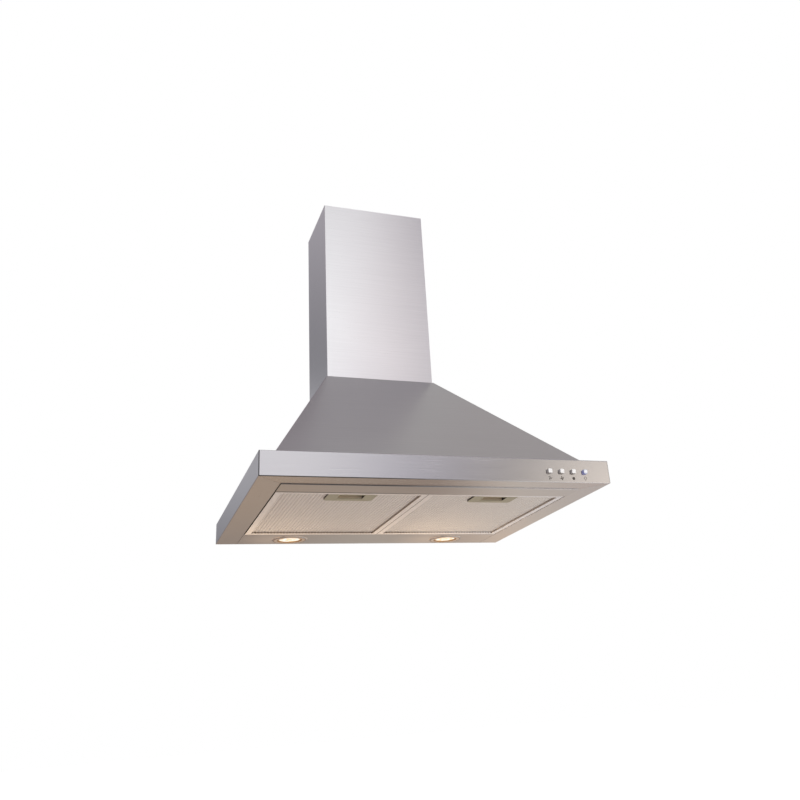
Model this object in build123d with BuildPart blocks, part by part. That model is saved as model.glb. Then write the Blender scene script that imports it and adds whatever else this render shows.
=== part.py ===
from build123d import *
import os
from math import hypot

# Canopy range hood, in millimetres. X runs along the wall, the wall is the plane Y = 0,
# the cook stands on the -Y side, and Z = 0 is the underside of the lip.

# Outer form
HOOD_WIDTH = 600.0
HOOD_DEPTH = 500.0
LIP_HEIGHT = 40.0
LIP_LEDGE = 25.0
LIP_FLANGE = 40.0
CANOPY_RISE = 262.0
FLUE_HEIGHT = 406.0
FLUE_EXTRA_WIDTH = 60.0
FLUE_STEP = 2.0

# Sheet metal
SHEET = 1.0
BEND = 1.0
SEAM = 0.3
FLANGE_RETURN = 12.0
CANOPY_FOOT = 11.0
CANOPY_HEAD = 14.0
PANEL_GAP = 0.6

# Underside strips
FRONT_RAIL_DEPTH = 50.0
LIGHT_PANEL_DEPTH = 88.0
RAIL_WALL = 16.0
RAIL_PROUD = 1.2
LIGHT_PANEL_BACK_WALL = 20.0

# Grease filters
FILTER_THICKNESS = 10.0
FILTER_STRIP = 10.0
FILTER_WALL = 1.2
FILTER_SIDE_GAP = 2.5
FILTER_END_GAP = 1.0
FILTER_MIDDLE_GAP = 1.2
MESH_RECESS = 2.5
MESH_THICKNESS = 6.0
MESH_PITCH = 4.5
MESH_RIDGE = 1.2
TAB_WIDTH = 16.0
TAB_LENGTH = 11.0
TAB_THICKNESS = 1.5
TAB_HEIGHT = 4.0
TAB_SPREAD = 160.0
TAB_SLOT_ROOM = 2.0

# Filter handle and latch
HANDLE_WIDTH = 83.0
HANDLE_LENGTH = 42.0
HANDLE_CORNER = 6.0
POCKET_WIDTH = 43.5
POCKET_LENGTH = 24.0
POCKET_FRONT_WALL = 5.0
LATCH_HEIGHT = 6.0
LATCH_THICKNESS = 2.4
LATCH_LIP = 2.5
LATCH_LIP_BOTTOM = 1.0
TONGUE_WIDTH = 30.0
TONGUE_PROUD = 0.4
LATCH_TRAVEL = 5.0

# Lamps
LAMP_INSET = 96.0
LAMP_FROM_WALL = 42.0
LAMP_BEZEL_RADIUS = 34.5
LAMP_BEZEL_PROUD = 1.5
LAMP_TUBE_RADIUS = 27.0
LAMP_TUBE_HEIGHT = 12.0
LAMP_WALL = 1.5
LENS_RADIUS = 24.0
LENS_THICKNESS = 2.5
LAMP_CAN_HEIGHT = 32.0
BULB_RADIUS = 5.0
BULB_LENGTH = 20.0
BULB_TIP = 2.5

# Buttons and the switch bank behind them
BUTTON_NAMES = ("button_fan_low", "button_fan_medium", "button_fan_high", "button_light")
BUTTON_SIZE = 7.4
BUTTON_CORNER = 1.6
BUTTON_PITCH = 22.5
BUTTON_LAST_INSET = 48.7
BUTTON_DROP = 1.3
BUTTON_PROUD = 5.0
BUTTON_TRAVEL = 2.0
BUTTON_FLANGE = 11.0
BUTTON_FLANGE_THICKNESS = 1.5
BUTTON_STEM_RADIUS = 2.5
BUTTON_STEM_LENGTH = 9.0
BUTTON_EDGE = 0.6
BANK_END = 8.0
BANK_HEIGHT = 24.0
BANK_FLOOR = 4.0

# Duct collar and damper
COLLAR_RADIUS = 62.0
COLLAR_WALL = 1.8
COLLAR_STEP = 2.2
COLLAR_HEIGHT = 60.0
COLLAR_FLANGE = 13.0
COLLAR_FLANGE_THICKNESS = 2.5
COLLAR_SCREWS = 4
DUCT_ROOM = 7.5
DAMPER_HEIGHT = 14.0
DAMPER_SEAT_THICKNESS = 2.0
DAMPER_SEAT_WIDTH = 4.2
FLAP_THICKNESS = 1.5
FLAP_EDGE_GAP = 1.0
FLAP_PIN_GAP = 4.0
PIN_RADIUS = 1.5
KNUCKLE_RADIUS = 3.0
KNUCKLE_WIDTH = 18.0
KNUCKLE_PITCH = 24.0
KNUCKLE_COUNT = 4

# Fan
SCROLL_GROWTH = 14.0
SCROLL_WALL = 2.0
SCROLL_RIM = 4.0
SCROLL_RIM_THICKNESS = 2.5
SCROLL_FLANGE = 12.0
SCROLL_FLANGE_END = 6.0
TONGUE_OFFSET = 8.0
SCROLL_TONGUE_RADIUS = 5.0
OUTLET_NECK = 55.0
INLET_EDGE = 1.2
IMPELLER_GAP = 10.0
IMPELLER_SIDE_GAP = 3.0
BLADE_COUNT = 30
BLADE_DEPTH = 12.0
BLADE_THICKNESS = 1.2
BLADE_SWEEP = 7.0
BLADE_RADIUS = 22.0
IMPELLER_RING = 2.0
HUB_DISC = 2.0
HUB_RADIUS = 9.0
HUB_LENGTH = 15.0
SHAFT_RADIUS = 4.0
SHAFT_FIT = 0.02
SHAFT_RUNNING = 0.05
MOTOR_GAP = 12.0
MOTOR_FROM_DISC = 7.0
MOTOR_SHOULDER = 8.0
BEARING_RADIUS = 11.0
BEARING_LENGTH = 4.0
SHAFT_IN_MOTOR = 22.0
GROMMET_RADIUS = 6.0
GROMMET_THICKNESS = 4.0
GROMMET_FROM_INLET = 8.0
BRACKET_ARMS = 3
BRACKET_ARM_START = 90
BRACKET_ARM_WIDTH = 16.0
BRACKET_THICKNESS = 2.0
SCREW_RADIUS = 1.8
SCREW_HEAD_RADIUS = 3.6
SCREW_HEAD = 2.2
SCREW_SIDES = 6

# Electrical boxes and leads
BOX_WIDTH = 80.0
BOX_DEPTH = 44.0
BOX_HEIGHT = 70.0
BOX_COVER = 12.0
BOX_EDGE = 3.0
COVER_EDGE = 1.5
TRANSFORMER_HEIGHT = 46.0
LAMP_LEAD_LENGTH = 23.0
LEAD_RADIUS = 2.0
LEAD_BEND = 12.0
LEAD_SIDES = 8
SWITCH_RISER = 20.0
CAPACITOR_RADIUS = 14.0
CAPACITOR_LENGTH = 46.0
CAPACITOR_EDGE = 3.5
GLAND_RADIUS = 7.0
GLAND_BORE_RADIUS = 3.5
GLAND_HEX = 9.0
GLAND_HEX_HEIGHT = 5.0
GLAND_HEIGHT = 16.0
GLAND_BELOW = 8.0

# Fixings to the wall
KEYHOLE_SPACING = 150.0
KEYHOLE_HEAD_RADIUS = 5.0
KEYHOLE_NECK_RADIUS = 2.75
KEYHOLE_RISE = 10.0
KEYHOLE_BELOW_TOP = 40.0
LOCK_HOLE_INSET = 40.0
LOCK_HOLE_HEIGHT = 100.0
LOCK_HOLE_RADIUS = 3.0

# Telescopic upper flue and its bracket
FLUE_GAP = 0.6
FLUE_RETURN = 14.0
FLUE_LIFT = 4.0
FLUE_TOP_DROP = 4.0
VENT_COUNT = 5
VENT_LENGTH = 90.0
VENT_WIDTH = 6.0
VENT_PITCH = 14.0
VENT_BELOW_TOP = 50.0
FLUE_BRACKET_HEIGHT = 24.0
FLUE_BRACKET_BELOW_TOP = 10.0
FLUE_BRACKET_REACH = 28.0
FLUE_BRACKET_FOOT = 20.0
FLUE_BRACKET_HOLES = 120.0
TOP_PLATE_MARGIN = 2.0

# Clearance between pieces that move past each other, and overshoot of a cut past a face
CLEAR = 0.3
PAST = 5.0

# Places worked out from the sizes above
LEDGE_TOTAL = LIP_LEDGE + CANOPY_FOOT + SHEET
OPENING_HALF = HOOD_WIDTH / 2 - LIP_FLANGE
RAIL_FRONT = HOOD_DEPTH - LIP_FLANGE
RAIL_BACK = RAIL_FRONT - FRONT_RAIL_DEPTH
FLUE_FOOT = LIP_HEIGHT + CANOPY_RISE
FLUE_TOP = FLUE_FOOT + FLUE_HEIGHT

COLLAR_INSIDE = COLLAR_RADIUS - COLLAR_WALL
COLLAR_EDGE = COLLAR_RADIUS + COLLAR_FLANGE
DUCT_Y = -(COLLAR_EDGE + DUCT_ROOM)
FLUE_DEPTH = 2 * (COLLAR_EDGE + DUCT_ROOM)
FLUE_WIDTH = FLUE_DEPTH + FLUE_EXTRA_WIDTH
OUTLET = 2 * (COLLAR_INSIDE - COLLAR_STEP)

CANOPY_BASE_HALF = HOOD_WIDTH / 2 - LIP_LEDGE
CANOPY_BASE_FRONT = HOOD_DEPTH - LIP_LEDGE
CANOPY_TOP_HALF = FLUE_WIDTH / 2 + FLUE_STEP
CANOPY_TOP_FRONT = FLUE_DEPTH + FLUE_STEP
SIDE_SLOPE = (CANOPY_BASE_HALF - CANOPY_TOP_HALF) / CANOPY_RISE
FRONT_SLOPE = (CANOPY_BASE_FRONT - CANOPY_TOP_FRONT) / CANOPY_RISE

UPPER_HALF = FLUE_WIDTH / 2 - SHEET - FLUE_GAP
UPPER_FRONT = FLUE_DEPTH - SHEET - FLUE_GAP
UPPER_BACK = SHEET + FLUE_GAP
PLATE_TOP = FLUE_FOOT + SHEET
UPPER_BOTTOM = FLUE_FOOT + FLUE_LIFT
UPPER_TOP = FLUE_TOP - FLUE_TOP_DROP

FILTER_WIDTH = OPENING_HALF - FILTER_SIDE_GAP - FILTER_MIDDLE_GAP / 2
FILTER_LENGTH = RAIL_BACK - LIGHT_PANEL_DEPTH - 2 * FILTER_END_GAP
FILTER_X = (FILTER_MIDDLE_GAP + FILTER_WIDTH) / 2
FILTER_FRONT = -(RAIL_BACK - FILTER_END_GAP)
FILTER_BACK = FILTER_FRONT + FILTER_LENGTH
HANDLE_FRONT = FILTER_FRONT + FILTER_STRIP
HANDLE_BACK = HANDLE_FRONT + HANDLE_LENGTH
POCKET_FRONT = HANDLE_FRONT + POCKET_FRONT_WALL
POCKET_BACK = POCKET_FRONT + POCKET_LENGTH
LATCH_TOP = LATCH_HEIGHT + LATCH_THICKNESS
TAB_SWING = hypot(TAB_LENGTH - FILTER_END_GAP / 2, TAB_HEIGHT + TAB_THICKNESS)

LAMP_X = OPENING_HALF - LAMP_INSET
LAMP_Y = -LAMP_FROM_WALL
BOX_BOTTOM = LAMP_CAN_HEIGHT + LAMP_LEAD_LENGTH
BOX_TOP = BOX_BOTTOM + BOX_HEIGHT

BUTTON_Z = LIP_HEIGHT / 2 - BUTTON_DROP
LAST_BUTTON_X = HOOD_WIDTH / 2 - BUTTON_LAST_INSET
BUTTON_X = [LAST_BUTTON_X - BUTTON_PITCH * (len(BUTTON_NAMES) - 1 - i) for i in range(len(BUTTON_NAMES))]
BANK_POCKET = BUTTON_FLANGE + 2 * CLEAR
BANK_POCKET_DEPTH = CLEAR + BUTTON_FLANGE_THICKNESS + BUTTON_TRAVEL + CLEAR
BANK_BORE_DEPTH = CLEAR + BUTTON_FLANGE_THICKNESS + BUTTON_STEM_LENGTH + BUTTON_TRAVEL + CLEAR
BANK_DEPTH = BANK_BORE_DEPTH + BANK_FLOOR
BANK_LEFT = BUTTON_X[0] - BANK_POCKET / 2 - BANK_END
BANK_RIGHT = BUTTON_X[-1] + BANK_POCKET / 2 + BANK_END
BANK_BACK = -HOOD_DEPTH + SHEET + BANK_DEPTH

PIN_Z = PLATE_TOP + DAMPER_HEIGHT
SEAT_TOP = PIN_Z - FLAP_THICKNESS / 2 - CLEAR

# The scroll is drawn from three tangent arcs, each SCROLL_GROWTH larger than the last
SCROLL_RADIUS = OUTLET + TONGUE_OFFSET - 3 * SCROLL_GROWTH
OUTLET_BACK = DUCT_Y + OUTLET / 2
OUTLET_FRONT = DUCT_Y - OUTLET / 2
FAN_Y = OUTLET_BACK - SCROLL_RADIUS - 3 * SCROLL_GROWTH
FAN_Z = FLUE_FOOT - OUTLET_NECK - SCROLL_RADIUS
SCROLL_HALF = OUTLET / 2
SCROLL_FACE = SCROLL_HALF + SCROLL_WALL
IMPELLER_RADIUS = SCROLL_RADIUS - IMPELLER_GAP
IMPELLER_HALF = SCROLL_HALF - IMPELLER_SIDE_GAP
BLADE_INSIDE = IMPELLER_RADIUS - BLADE_DEPTH
INLET_RADIUS = BLADE_INSIDE
MOTOR_RADIUS = BLADE_INSIDE - MOTOR_GAP
MOTOR_START = MOTOR_FROM_DISC + BEARING_LENGTH
MOTOR_END = SCROLL_FACE + GROMMET_THICKNESS
GROMMET_CIRCLE = INLET_RADIUS + GROMMET_FROM_INLET
BRACKET_END = MOTOR_END + BRACKET_THICKNESS

FRONT_FACE = Plane(origin=(0, -HOOD_DEPTH, 0), x_dir=(1, 0, 0), z_dir=(0, -1, 0))
FAN_PLANE = Plane(origin=(0, FAN_Y, FAN_Z), x_dir=(0, 1, 0), z_dir=(1, 0, 0))
FAN_SECTION = Plane(origin=(0, FAN_Y, FAN_Z), x_dir=(1, 0, 0), z_dir=(0, -1, 0))
FAN_AXIS = Axis((0, FAN_Y, FAN_Z), (1, 0, 0))
DUCT_SECTION = Plane(origin=(0, DUCT_Y, 0), x_dir=(1, 0, 0), z_dir=(0, -1, 0))
DUCT_AXIS = Axis((0, DUCT_Y, 0), (0, 0, 1))

os.makedirs("parts", exist_ok=True)


def save(part, name):
    """Label a finished piece and write it under its own name."""
    part.label = name
    export_step(part, f"parts/{name}.step")


def rectangle_between(x0, x1, y0, y1, mode=Mode.ADD):
    """Rectangle given by its edges, in the sketch that is open."""
    with Locations(((x0 + x1) / 2, (y0 + y1) / 2)):
        Rectangle(x1 - x0, y1 - y0, mode=mode)


def canopy_half(z):
    """Half the canopy's outer width at a height."""
    return CANOPY_BASE_HALF - SIDE_SLOPE * (z - LIP_HEIGHT)


def canopy_front(z):
    """Distance of the canopy's outer front face from the wall at a height."""
    return CANOPY_BASE_FRONT - FRONT_SLOPE * (z - LIP_HEIGHT)


def mitre_plane(side):
    """Upright plane through a front corner at 45 degrees, facing the front lip."""
    return Plane(origin=(side * HOOD_WIDTH / 2, -HOOD_DEPTH, 0), x_dir=(0, 0, 1), z_dir=(-side, -1, 0))


# Lip: one folded section, run along the front and both sides and mitred at the front corners
LIP_SECTION = [
    (0, 0),
    (LIP_FLANGE, 0),
    (LIP_FLANGE, FLANGE_RETURN),
    (LIP_FLANGE - SHEET, FLANGE_RETURN),
    (LIP_FLANGE - SHEET, SHEET),
    (SHEET, SHEET),
    (SHEET, LIP_HEIGHT - SHEET),
    (LEDGE_TOTAL, LIP_HEIGHT - SHEET),
    (LEDGE_TOTAL, LIP_HEIGHT),
    (0, LIP_HEIGHT),
]

with BuildPart() as lip_front:
    with BuildSketch(Plane(origin=(0, -HOOD_DEPTH, 0), x_dir=(0, 1, 0), z_dir=(1, 0, 0))):
        Polygon(*LIP_SECTION, align=None)
        fillet(vertices().group_by(Axis.X)[0], BEND)
    extrude(amount=HOOD_WIDTH / 2, both=True)
    for side in (-1, 1):
        split(bisect_by=mitre_plane(side).offset(SEAM / 2), keep=Keep.TOP)
    with BuildSketch(FRONT_FACE):
        with Locations(*[(x, BUTTON_Z) for x in BUTTON_X]):
            RectangleRounded(BUTTON_SIZE + 2 * CLEAR, BUTTON_SIZE + 2 * CLEAR, BUTTON_CORNER + CLEAR)
    extrude(amount=-SHEET, mode=Mode.SUBTRACT)
save(lip_front.part, "lip_front")

with BuildPart() as lip_left:
    with BuildSketch(Plane(origin=(-HOOD_WIDTH / 2, -SHEET, 0), x_dir=(1, 0, 0), z_dir=(0, -1, 0))):
        Polygon(*LIP_SECTION, align=None)
        fillet(vertices().group_by(Axis.X)[0], BEND)
    extrude(amount=HOOD_DEPTH)
    split(bisect_by=mitre_plane(-1).offset(-SEAM / 2), keep=Keep.BOTTOM)
save(lip_left.part, "lip_left")

with BuildPart() as lip_right:
    mirror(lip_left.part, about=Plane.YZ)
save(lip_right.part, "lip_right")


def pyramid(bottom, top, side_wall, front_wall, back):
    """Canopy form between two heights, inside the given walls: a side profile crossed by a front one."""
    with BuildPart() as form:
        with BuildSketch(Plane.YZ):
            Polygon(
                (back, bottom),
                (front_wall - canopy_front(bottom), bottom),
                (front_wall - canopy_front(top), top),
                (back, top),
                align=None,
            )
        extrude(amount=HOOD_WIDTH, both=True)
        with BuildSketch(Plane.XZ):
            Polygon(
                (side_wall - canopy_half(bottom), bottom),
                (canopy_half(bottom) - side_wall, bottom),
                (canopy_half(top) - side_wall, top),
                (side_wall - canopy_half(top), top),
                align=None,
            )
        extrude(amount=HOOD_DEPTH, both=True, mode=Mode.INTERSECT)
    return form.part


# Canopy: a thin pyramid, open at the back, with a foot folded on to the lip and a head under the flue
CANOPY_SKIN = pyramid(LIP_HEIGHT, FLUE_FOOT, 0, 0, -SHEET)
CANOPY_AIR = pyramid(
    LIP_HEIGHT + SHEET,
    FLUE_FOOT - SHEET,
    SHEET * hypot(1, SIDE_SLOPE),
    SHEET * hypot(1, FRONT_SLOPE),
    PAST,
)

with BuildPart() as canopy_shell:
    add(CANOPY_SKIN)
    add(CANOPY_AIR, mode=Mode.SUBTRACT)
    for z, fold in ((LIP_HEIGHT, CANOPY_FOOT), (FLUE_FOOT - SHEET, CANOPY_HEAD)):
        with BuildSketch(Plane.XY.offset(z)):
            inside = canopy_half(z) - fold
            rectangle_between(-inside, inside, fold - canopy_front(z), PAST)
        extrude(amount=SHEET, mode=Mode.SUBTRACT)


def hip_plane(side):
    """Mitre plane through the outer and inner corner of a hip, facing the side panel."""
    corner = (side * canopy_half(LIP_HEIGHT), -canopy_front(LIP_HEIGHT), LIP_HEIGHT)
    along = Vector(-side * SIDE_SLOPE, FRONT_SLOPE, 1)
    across = Vector(-side * hypot(1, SIDE_SLOPE), hypot(1, FRONT_SLOPE), 0)
    return Plane(origin=corner, x_dir=along, z_dir=across.cross(along) * side)


# The canopy is three panels, welded at the hips
with BuildPart() as canopy_front_panel:
    add(canopy_shell.part)
    for side in (-1, 1):
        split(bisect_by=hip_plane(side), keep=Keep.BOTTOM)
save(canopy_front_panel.part, "canopy_front_panel")

with BuildPart() as canopy_left_panel:
    add(canopy_shell.part)
    split(bisect_by=hip_plane(-1), keep=Keep.TOP)
save(canopy_left_panel.part, "canopy_left_panel")

with BuildPart() as canopy_right_panel:
    add(canopy_shell.part)
    split(bisect_by=hip_plane(1), keep=Keep.TOP)
save(canopy_right_panel.part, "canopy_right_panel")

# Back panel with keyholes to hang the hood and round holes to lock it
with BuildPart() as back_panel:
    with BuildSketch(Plane.XZ):
        Polygon(
            (-HOOD_WIDTH / 2, 0),
            (HOOD_WIDTH / 2, 0),
            (HOOD_WIDTH / 2, LIP_HEIGHT),
            (CANOPY_BASE_HALF, LIP_HEIGHT),
            (CANOPY_TOP_HALF, FLUE_FOOT),
            (-CANOPY_TOP_HALF, FLUE_FOOT),
            (-CANOPY_BASE_HALF, LIP_HEIGHT),
            (-HOOD_WIDTH / 2, LIP_HEIGHT),
            align=None,
        )
        keyhole_z = FLUE_FOOT - KEYHOLE_BELOW_TOP
        for x in (-KEYHOLE_SPACING / 2, KEYHOLE_SPACING / 2):
            with Locations((x, keyhole_z)):
                Circle(KEYHOLE_HEAD_RADIUS, mode=Mode.SUBTRACT)
            with Locations((x, keyhole_z + KEYHOLE_RISE / 2)):
                SlotCenterToCenter(KEYHOLE_RISE, 2 * KEYHOLE_NECK_RADIUS, rotation=90, mode=Mode.SUBTRACT)
        lock_x = OPENING_HALF - LOCK_HOLE_INSET
        with Locations((-lock_x, LOCK_HOLE_HEIGHT), (lock_x, LOCK_HOLE_HEIGHT)):
            Circle(LOCK_HOLE_RADIUS, mode=Mode.SUBTRACT)
    extrude(amount=SHEET)
save(back_panel.part, "back_panel")

# Top plate: carries the fan below it and the collar above it
GLAND_X = (COLLAR_EDGE + UPPER_HALF) / 2

with BuildPart() as top_plate:
    with BuildSketch(Plane.XY.offset(FLUE_FOOT)):
        plate_half = UPPER_HALF - SHEET - TOP_PLATE_MARGIN
        plate_front = UPPER_FRONT - SHEET - TOP_PLATE_MARGIN
        rectangle_between(-plate_half, plate_half, -plate_front, -UPPER_BACK - SHEET)
        with Locations((0, DUCT_Y)):
            Circle(OUTLET / 2, mode=Mode.SUBTRACT)
        with Locations((GLAND_X, DUCT_Y)):
            Circle(GLAND_RADIUS, mode=Mode.SUBTRACT)
    extrude(amount=SHEET)
save(top_plate.part, "top_plate")


def flue_section(half, front, back):
    """Folded flue seen from above: front, two sides and narrow returns along the wall."""
    rectangle_between(-half, half, -front, -back)
    rectangle_between(-half + SHEET, half - SHEET, -front + SHEET, -back - SHEET, Mode.SUBTRACT)
    rectangle_between(-half + FLUE_RETURN, half - FLUE_RETURN, -back - 2 * SHEET, -back + PAST, Mode.SUBTRACT)


with BuildPart() as flue_lower:
    with BuildSketch(Plane.XY.offset(FLUE_FOOT)):
        flue_section(FLUE_WIDTH / 2, FLUE_DEPTH, 0)
    extrude(amount=FLUE_HEIGHT)
    corners = flue_lower.edges().filter_by(Axis.Z).group_by(Axis.Y)[0]
    fillet(corners, BEND)
save(flue_lower.part, "flue_lower")

with BuildPart() as flue_upper:
    with BuildSketch(Plane.XY.offset(UPPER_BOTTOM)):
        flue_section(UPPER_HALF, UPPER_FRONT, UPPER_BACK)
    extrude(amount=UPPER_TOP - UPPER_BOTTOM)
    corners = flue_upper.edges().filter_by(Axis.Z).group_by(Axis.Y)[0]
    fillet(corners, BEND)
    with BuildSketch(Plane.YZ):
        for i in range(VENT_COUNT):
            with Locations((DUCT_Y, UPPER_TOP - VENT_BELOW_TOP - i * VENT_PITCH)):
                Rectangle(VENT_LENGTH, VENT_WIDTH)
    extrude(amount=FLUE_WIDTH, both=True, mode=Mode.SUBTRACT)
save(flue_upper.part, "flue_upper")

# Bracket that holds the upper flue to the wall: a folded strip between the flue's returns
with BuildPart() as flue_bracket:
    strip_half = SHEET / 2
    foot_x = UPPER_HALF - SHEET - strip_half
    ear_x = UPPER_HALF - FLUE_RETURN - SHEET
    ear_y = -UPPER_BACK - FLUE_BRACKET_REACH
    with BuildSketch(Plane.XY.offset(UPPER_TOP - FLUE_BRACKET_BELOW_TOP - FLUE_BRACKET_HEIGHT)):
        with BuildLine():
            Polyline(
                (-foot_x, ear_y - FLUE_BRACKET_FOOT),
                (-foot_x, ear_y),
                (-ear_x, ear_y),
                (-ear_x, -strip_half),
                (ear_x, -strip_half),
                (ear_x, ear_y),
                (foot_x, ear_y),
                (foot_x, ear_y - FLUE_BRACKET_FOOT),
            )
        trace(line_width=SHEET)
    extrude(amount=FLUE_BRACKET_HEIGHT)
    with BuildSketch(Plane.XZ):
        hole_z = UPPER_TOP - FLUE_BRACKET_BELOW_TOP - FLUE_BRACKET_HEIGHT / 2
        with Locations((-FLUE_BRACKET_HOLES / 2, hole_z), (FLUE_BRACKET_HOLES / 2, hole_z)):
            Circle(LOCK_HOLE_RADIUS)
    extrude(amount=2 * SHEET, mode=Mode.SUBTRACT)
save(flue_bracket.part, "flue_bracket")


def channel_points(front, back, bottom, front_wall, back_wall):
    """Section of an underside strip, in (y, z): a flat web with both edges folded up."""
    return [
        (front, bottom),
        (back, bottom),
        (back, back_wall),
        (back - SHEET, back_wall),
        (back - SHEET, bottom + SHEET),
        (front + SHEET, bottom + SHEET),
        (front + SHEET, front_wall),
        (front, front_wall),
    ]


# Front rail, a little proud below, with a keeper slot for each filter latch
with BuildPart() as front_rail:
    with BuildSketch(Plane.YZ):
        rail_front = -RAIL_FRONT + PANEL_GAP
        Polygon(*channel_points(rail_front, -RAIL_BACK, -RAIL_PROUD, FLANGE_RETURN, RAIL_WALL), align=None)
        fillet(vertices().group_by(Axis.Y)[0], BEND)
    extrude(amount=OPENING_HALF - PANEL_GAP, both=True)
    with BuildSketch(Plane.XZ.offset(RAIL_BACK)):
        for x in (-FILTER_X, FILTER_X):
            half = TONGUE_WIDTH / 2 + 2 * CLEAR
            rectangle_between(x - half, x + half, LATCH_HEIGHT - 2 * CLEAR, LATCH_TOP + 2 * CLEAR)
    extrude(amount=SHEET, mode=Mode.SUBTRACT)
save(front_rail.part, "front_rail")

# Light panel with the lamp holes and a slot for each rear tab of the filters
TAB_X = [x + spread for x in (-FILTER_X, FILTER_X) for spread in (-TAB_SPREAD / 2, TAB_SPREAD / 2)]

with BuildPart() as light_panel:
    with BuildSketch(Plane.YZ):
        Polygon(*channel_points(-LIGHT_PANEL_DEPTH, -SHEET, 0, RAIL_WALL, LIGHT_PANEL_BACK_WALL), align=None)
        fillet(vertices().group_by(Axis.Y)[0], BEND)
    extrude(amount=OPENING_HALF - PANEL_GAP, both=True)
    with BuildSketch(Plane.XY):
        with Locations((-LAMP_X, LAMP_Y), (LAMP_X, LAMP_Y)):
            Circle(LAMP_TUBE_RADIUS + CLEAR)
    extrude(amount=SHEET, mode=Mode.SUBTRACT)
    with BuildSketch(Plane.XZ.offset(LIGHT_PANEL_DEPTH)):
        for x in TAB_X:
            half = TAB_WIDTH / 2 + TAB_SLOT_ROOM
            rectangle_between(x - half, x + half, TAB_HEIGHT - CLEAR, TAB_SWING + CLEAR)
    extrude(amount=-SHEET, mode=Mode.SUBTRACT)
save(light_panel.part, "light_panel")


def handle_outline(middle, front, margin):
    """Outline of a filter's handle from a given front, grown by a margin, with round rear corners."""
    half = HANDLE_WIDTH / 2 + margin
    rectangle_between(middle - half, middle + half, front, HANDLE_BACK + margin)
    fillet(vertices().group_by(Axis.Y)[-1], HANDLE_CORNER + margin)


def mesh_points(left, right):
    """Section of a mesh pack, in (x, z): ridges along both faces, side by side across the filter."""
    bottom = MESH_RECESS + CLEAR
    top = MESH_RECESS + MESH_THICKNESS - CLEAR
    steps = 2 * round((right - left) / MESH_PITCH)
    across = [left + (right - left) * i / steps for i in range(steps + 1)]
    below = [(x, bottom + MESH_RIDGE * (i % 2)) for i, x in enumerate(across)]
    above = [(x, top - MESH_RIDGE * (1 - i % 2)) for i, x in enumerate(across)]
    return below + above[::-1]


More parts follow.
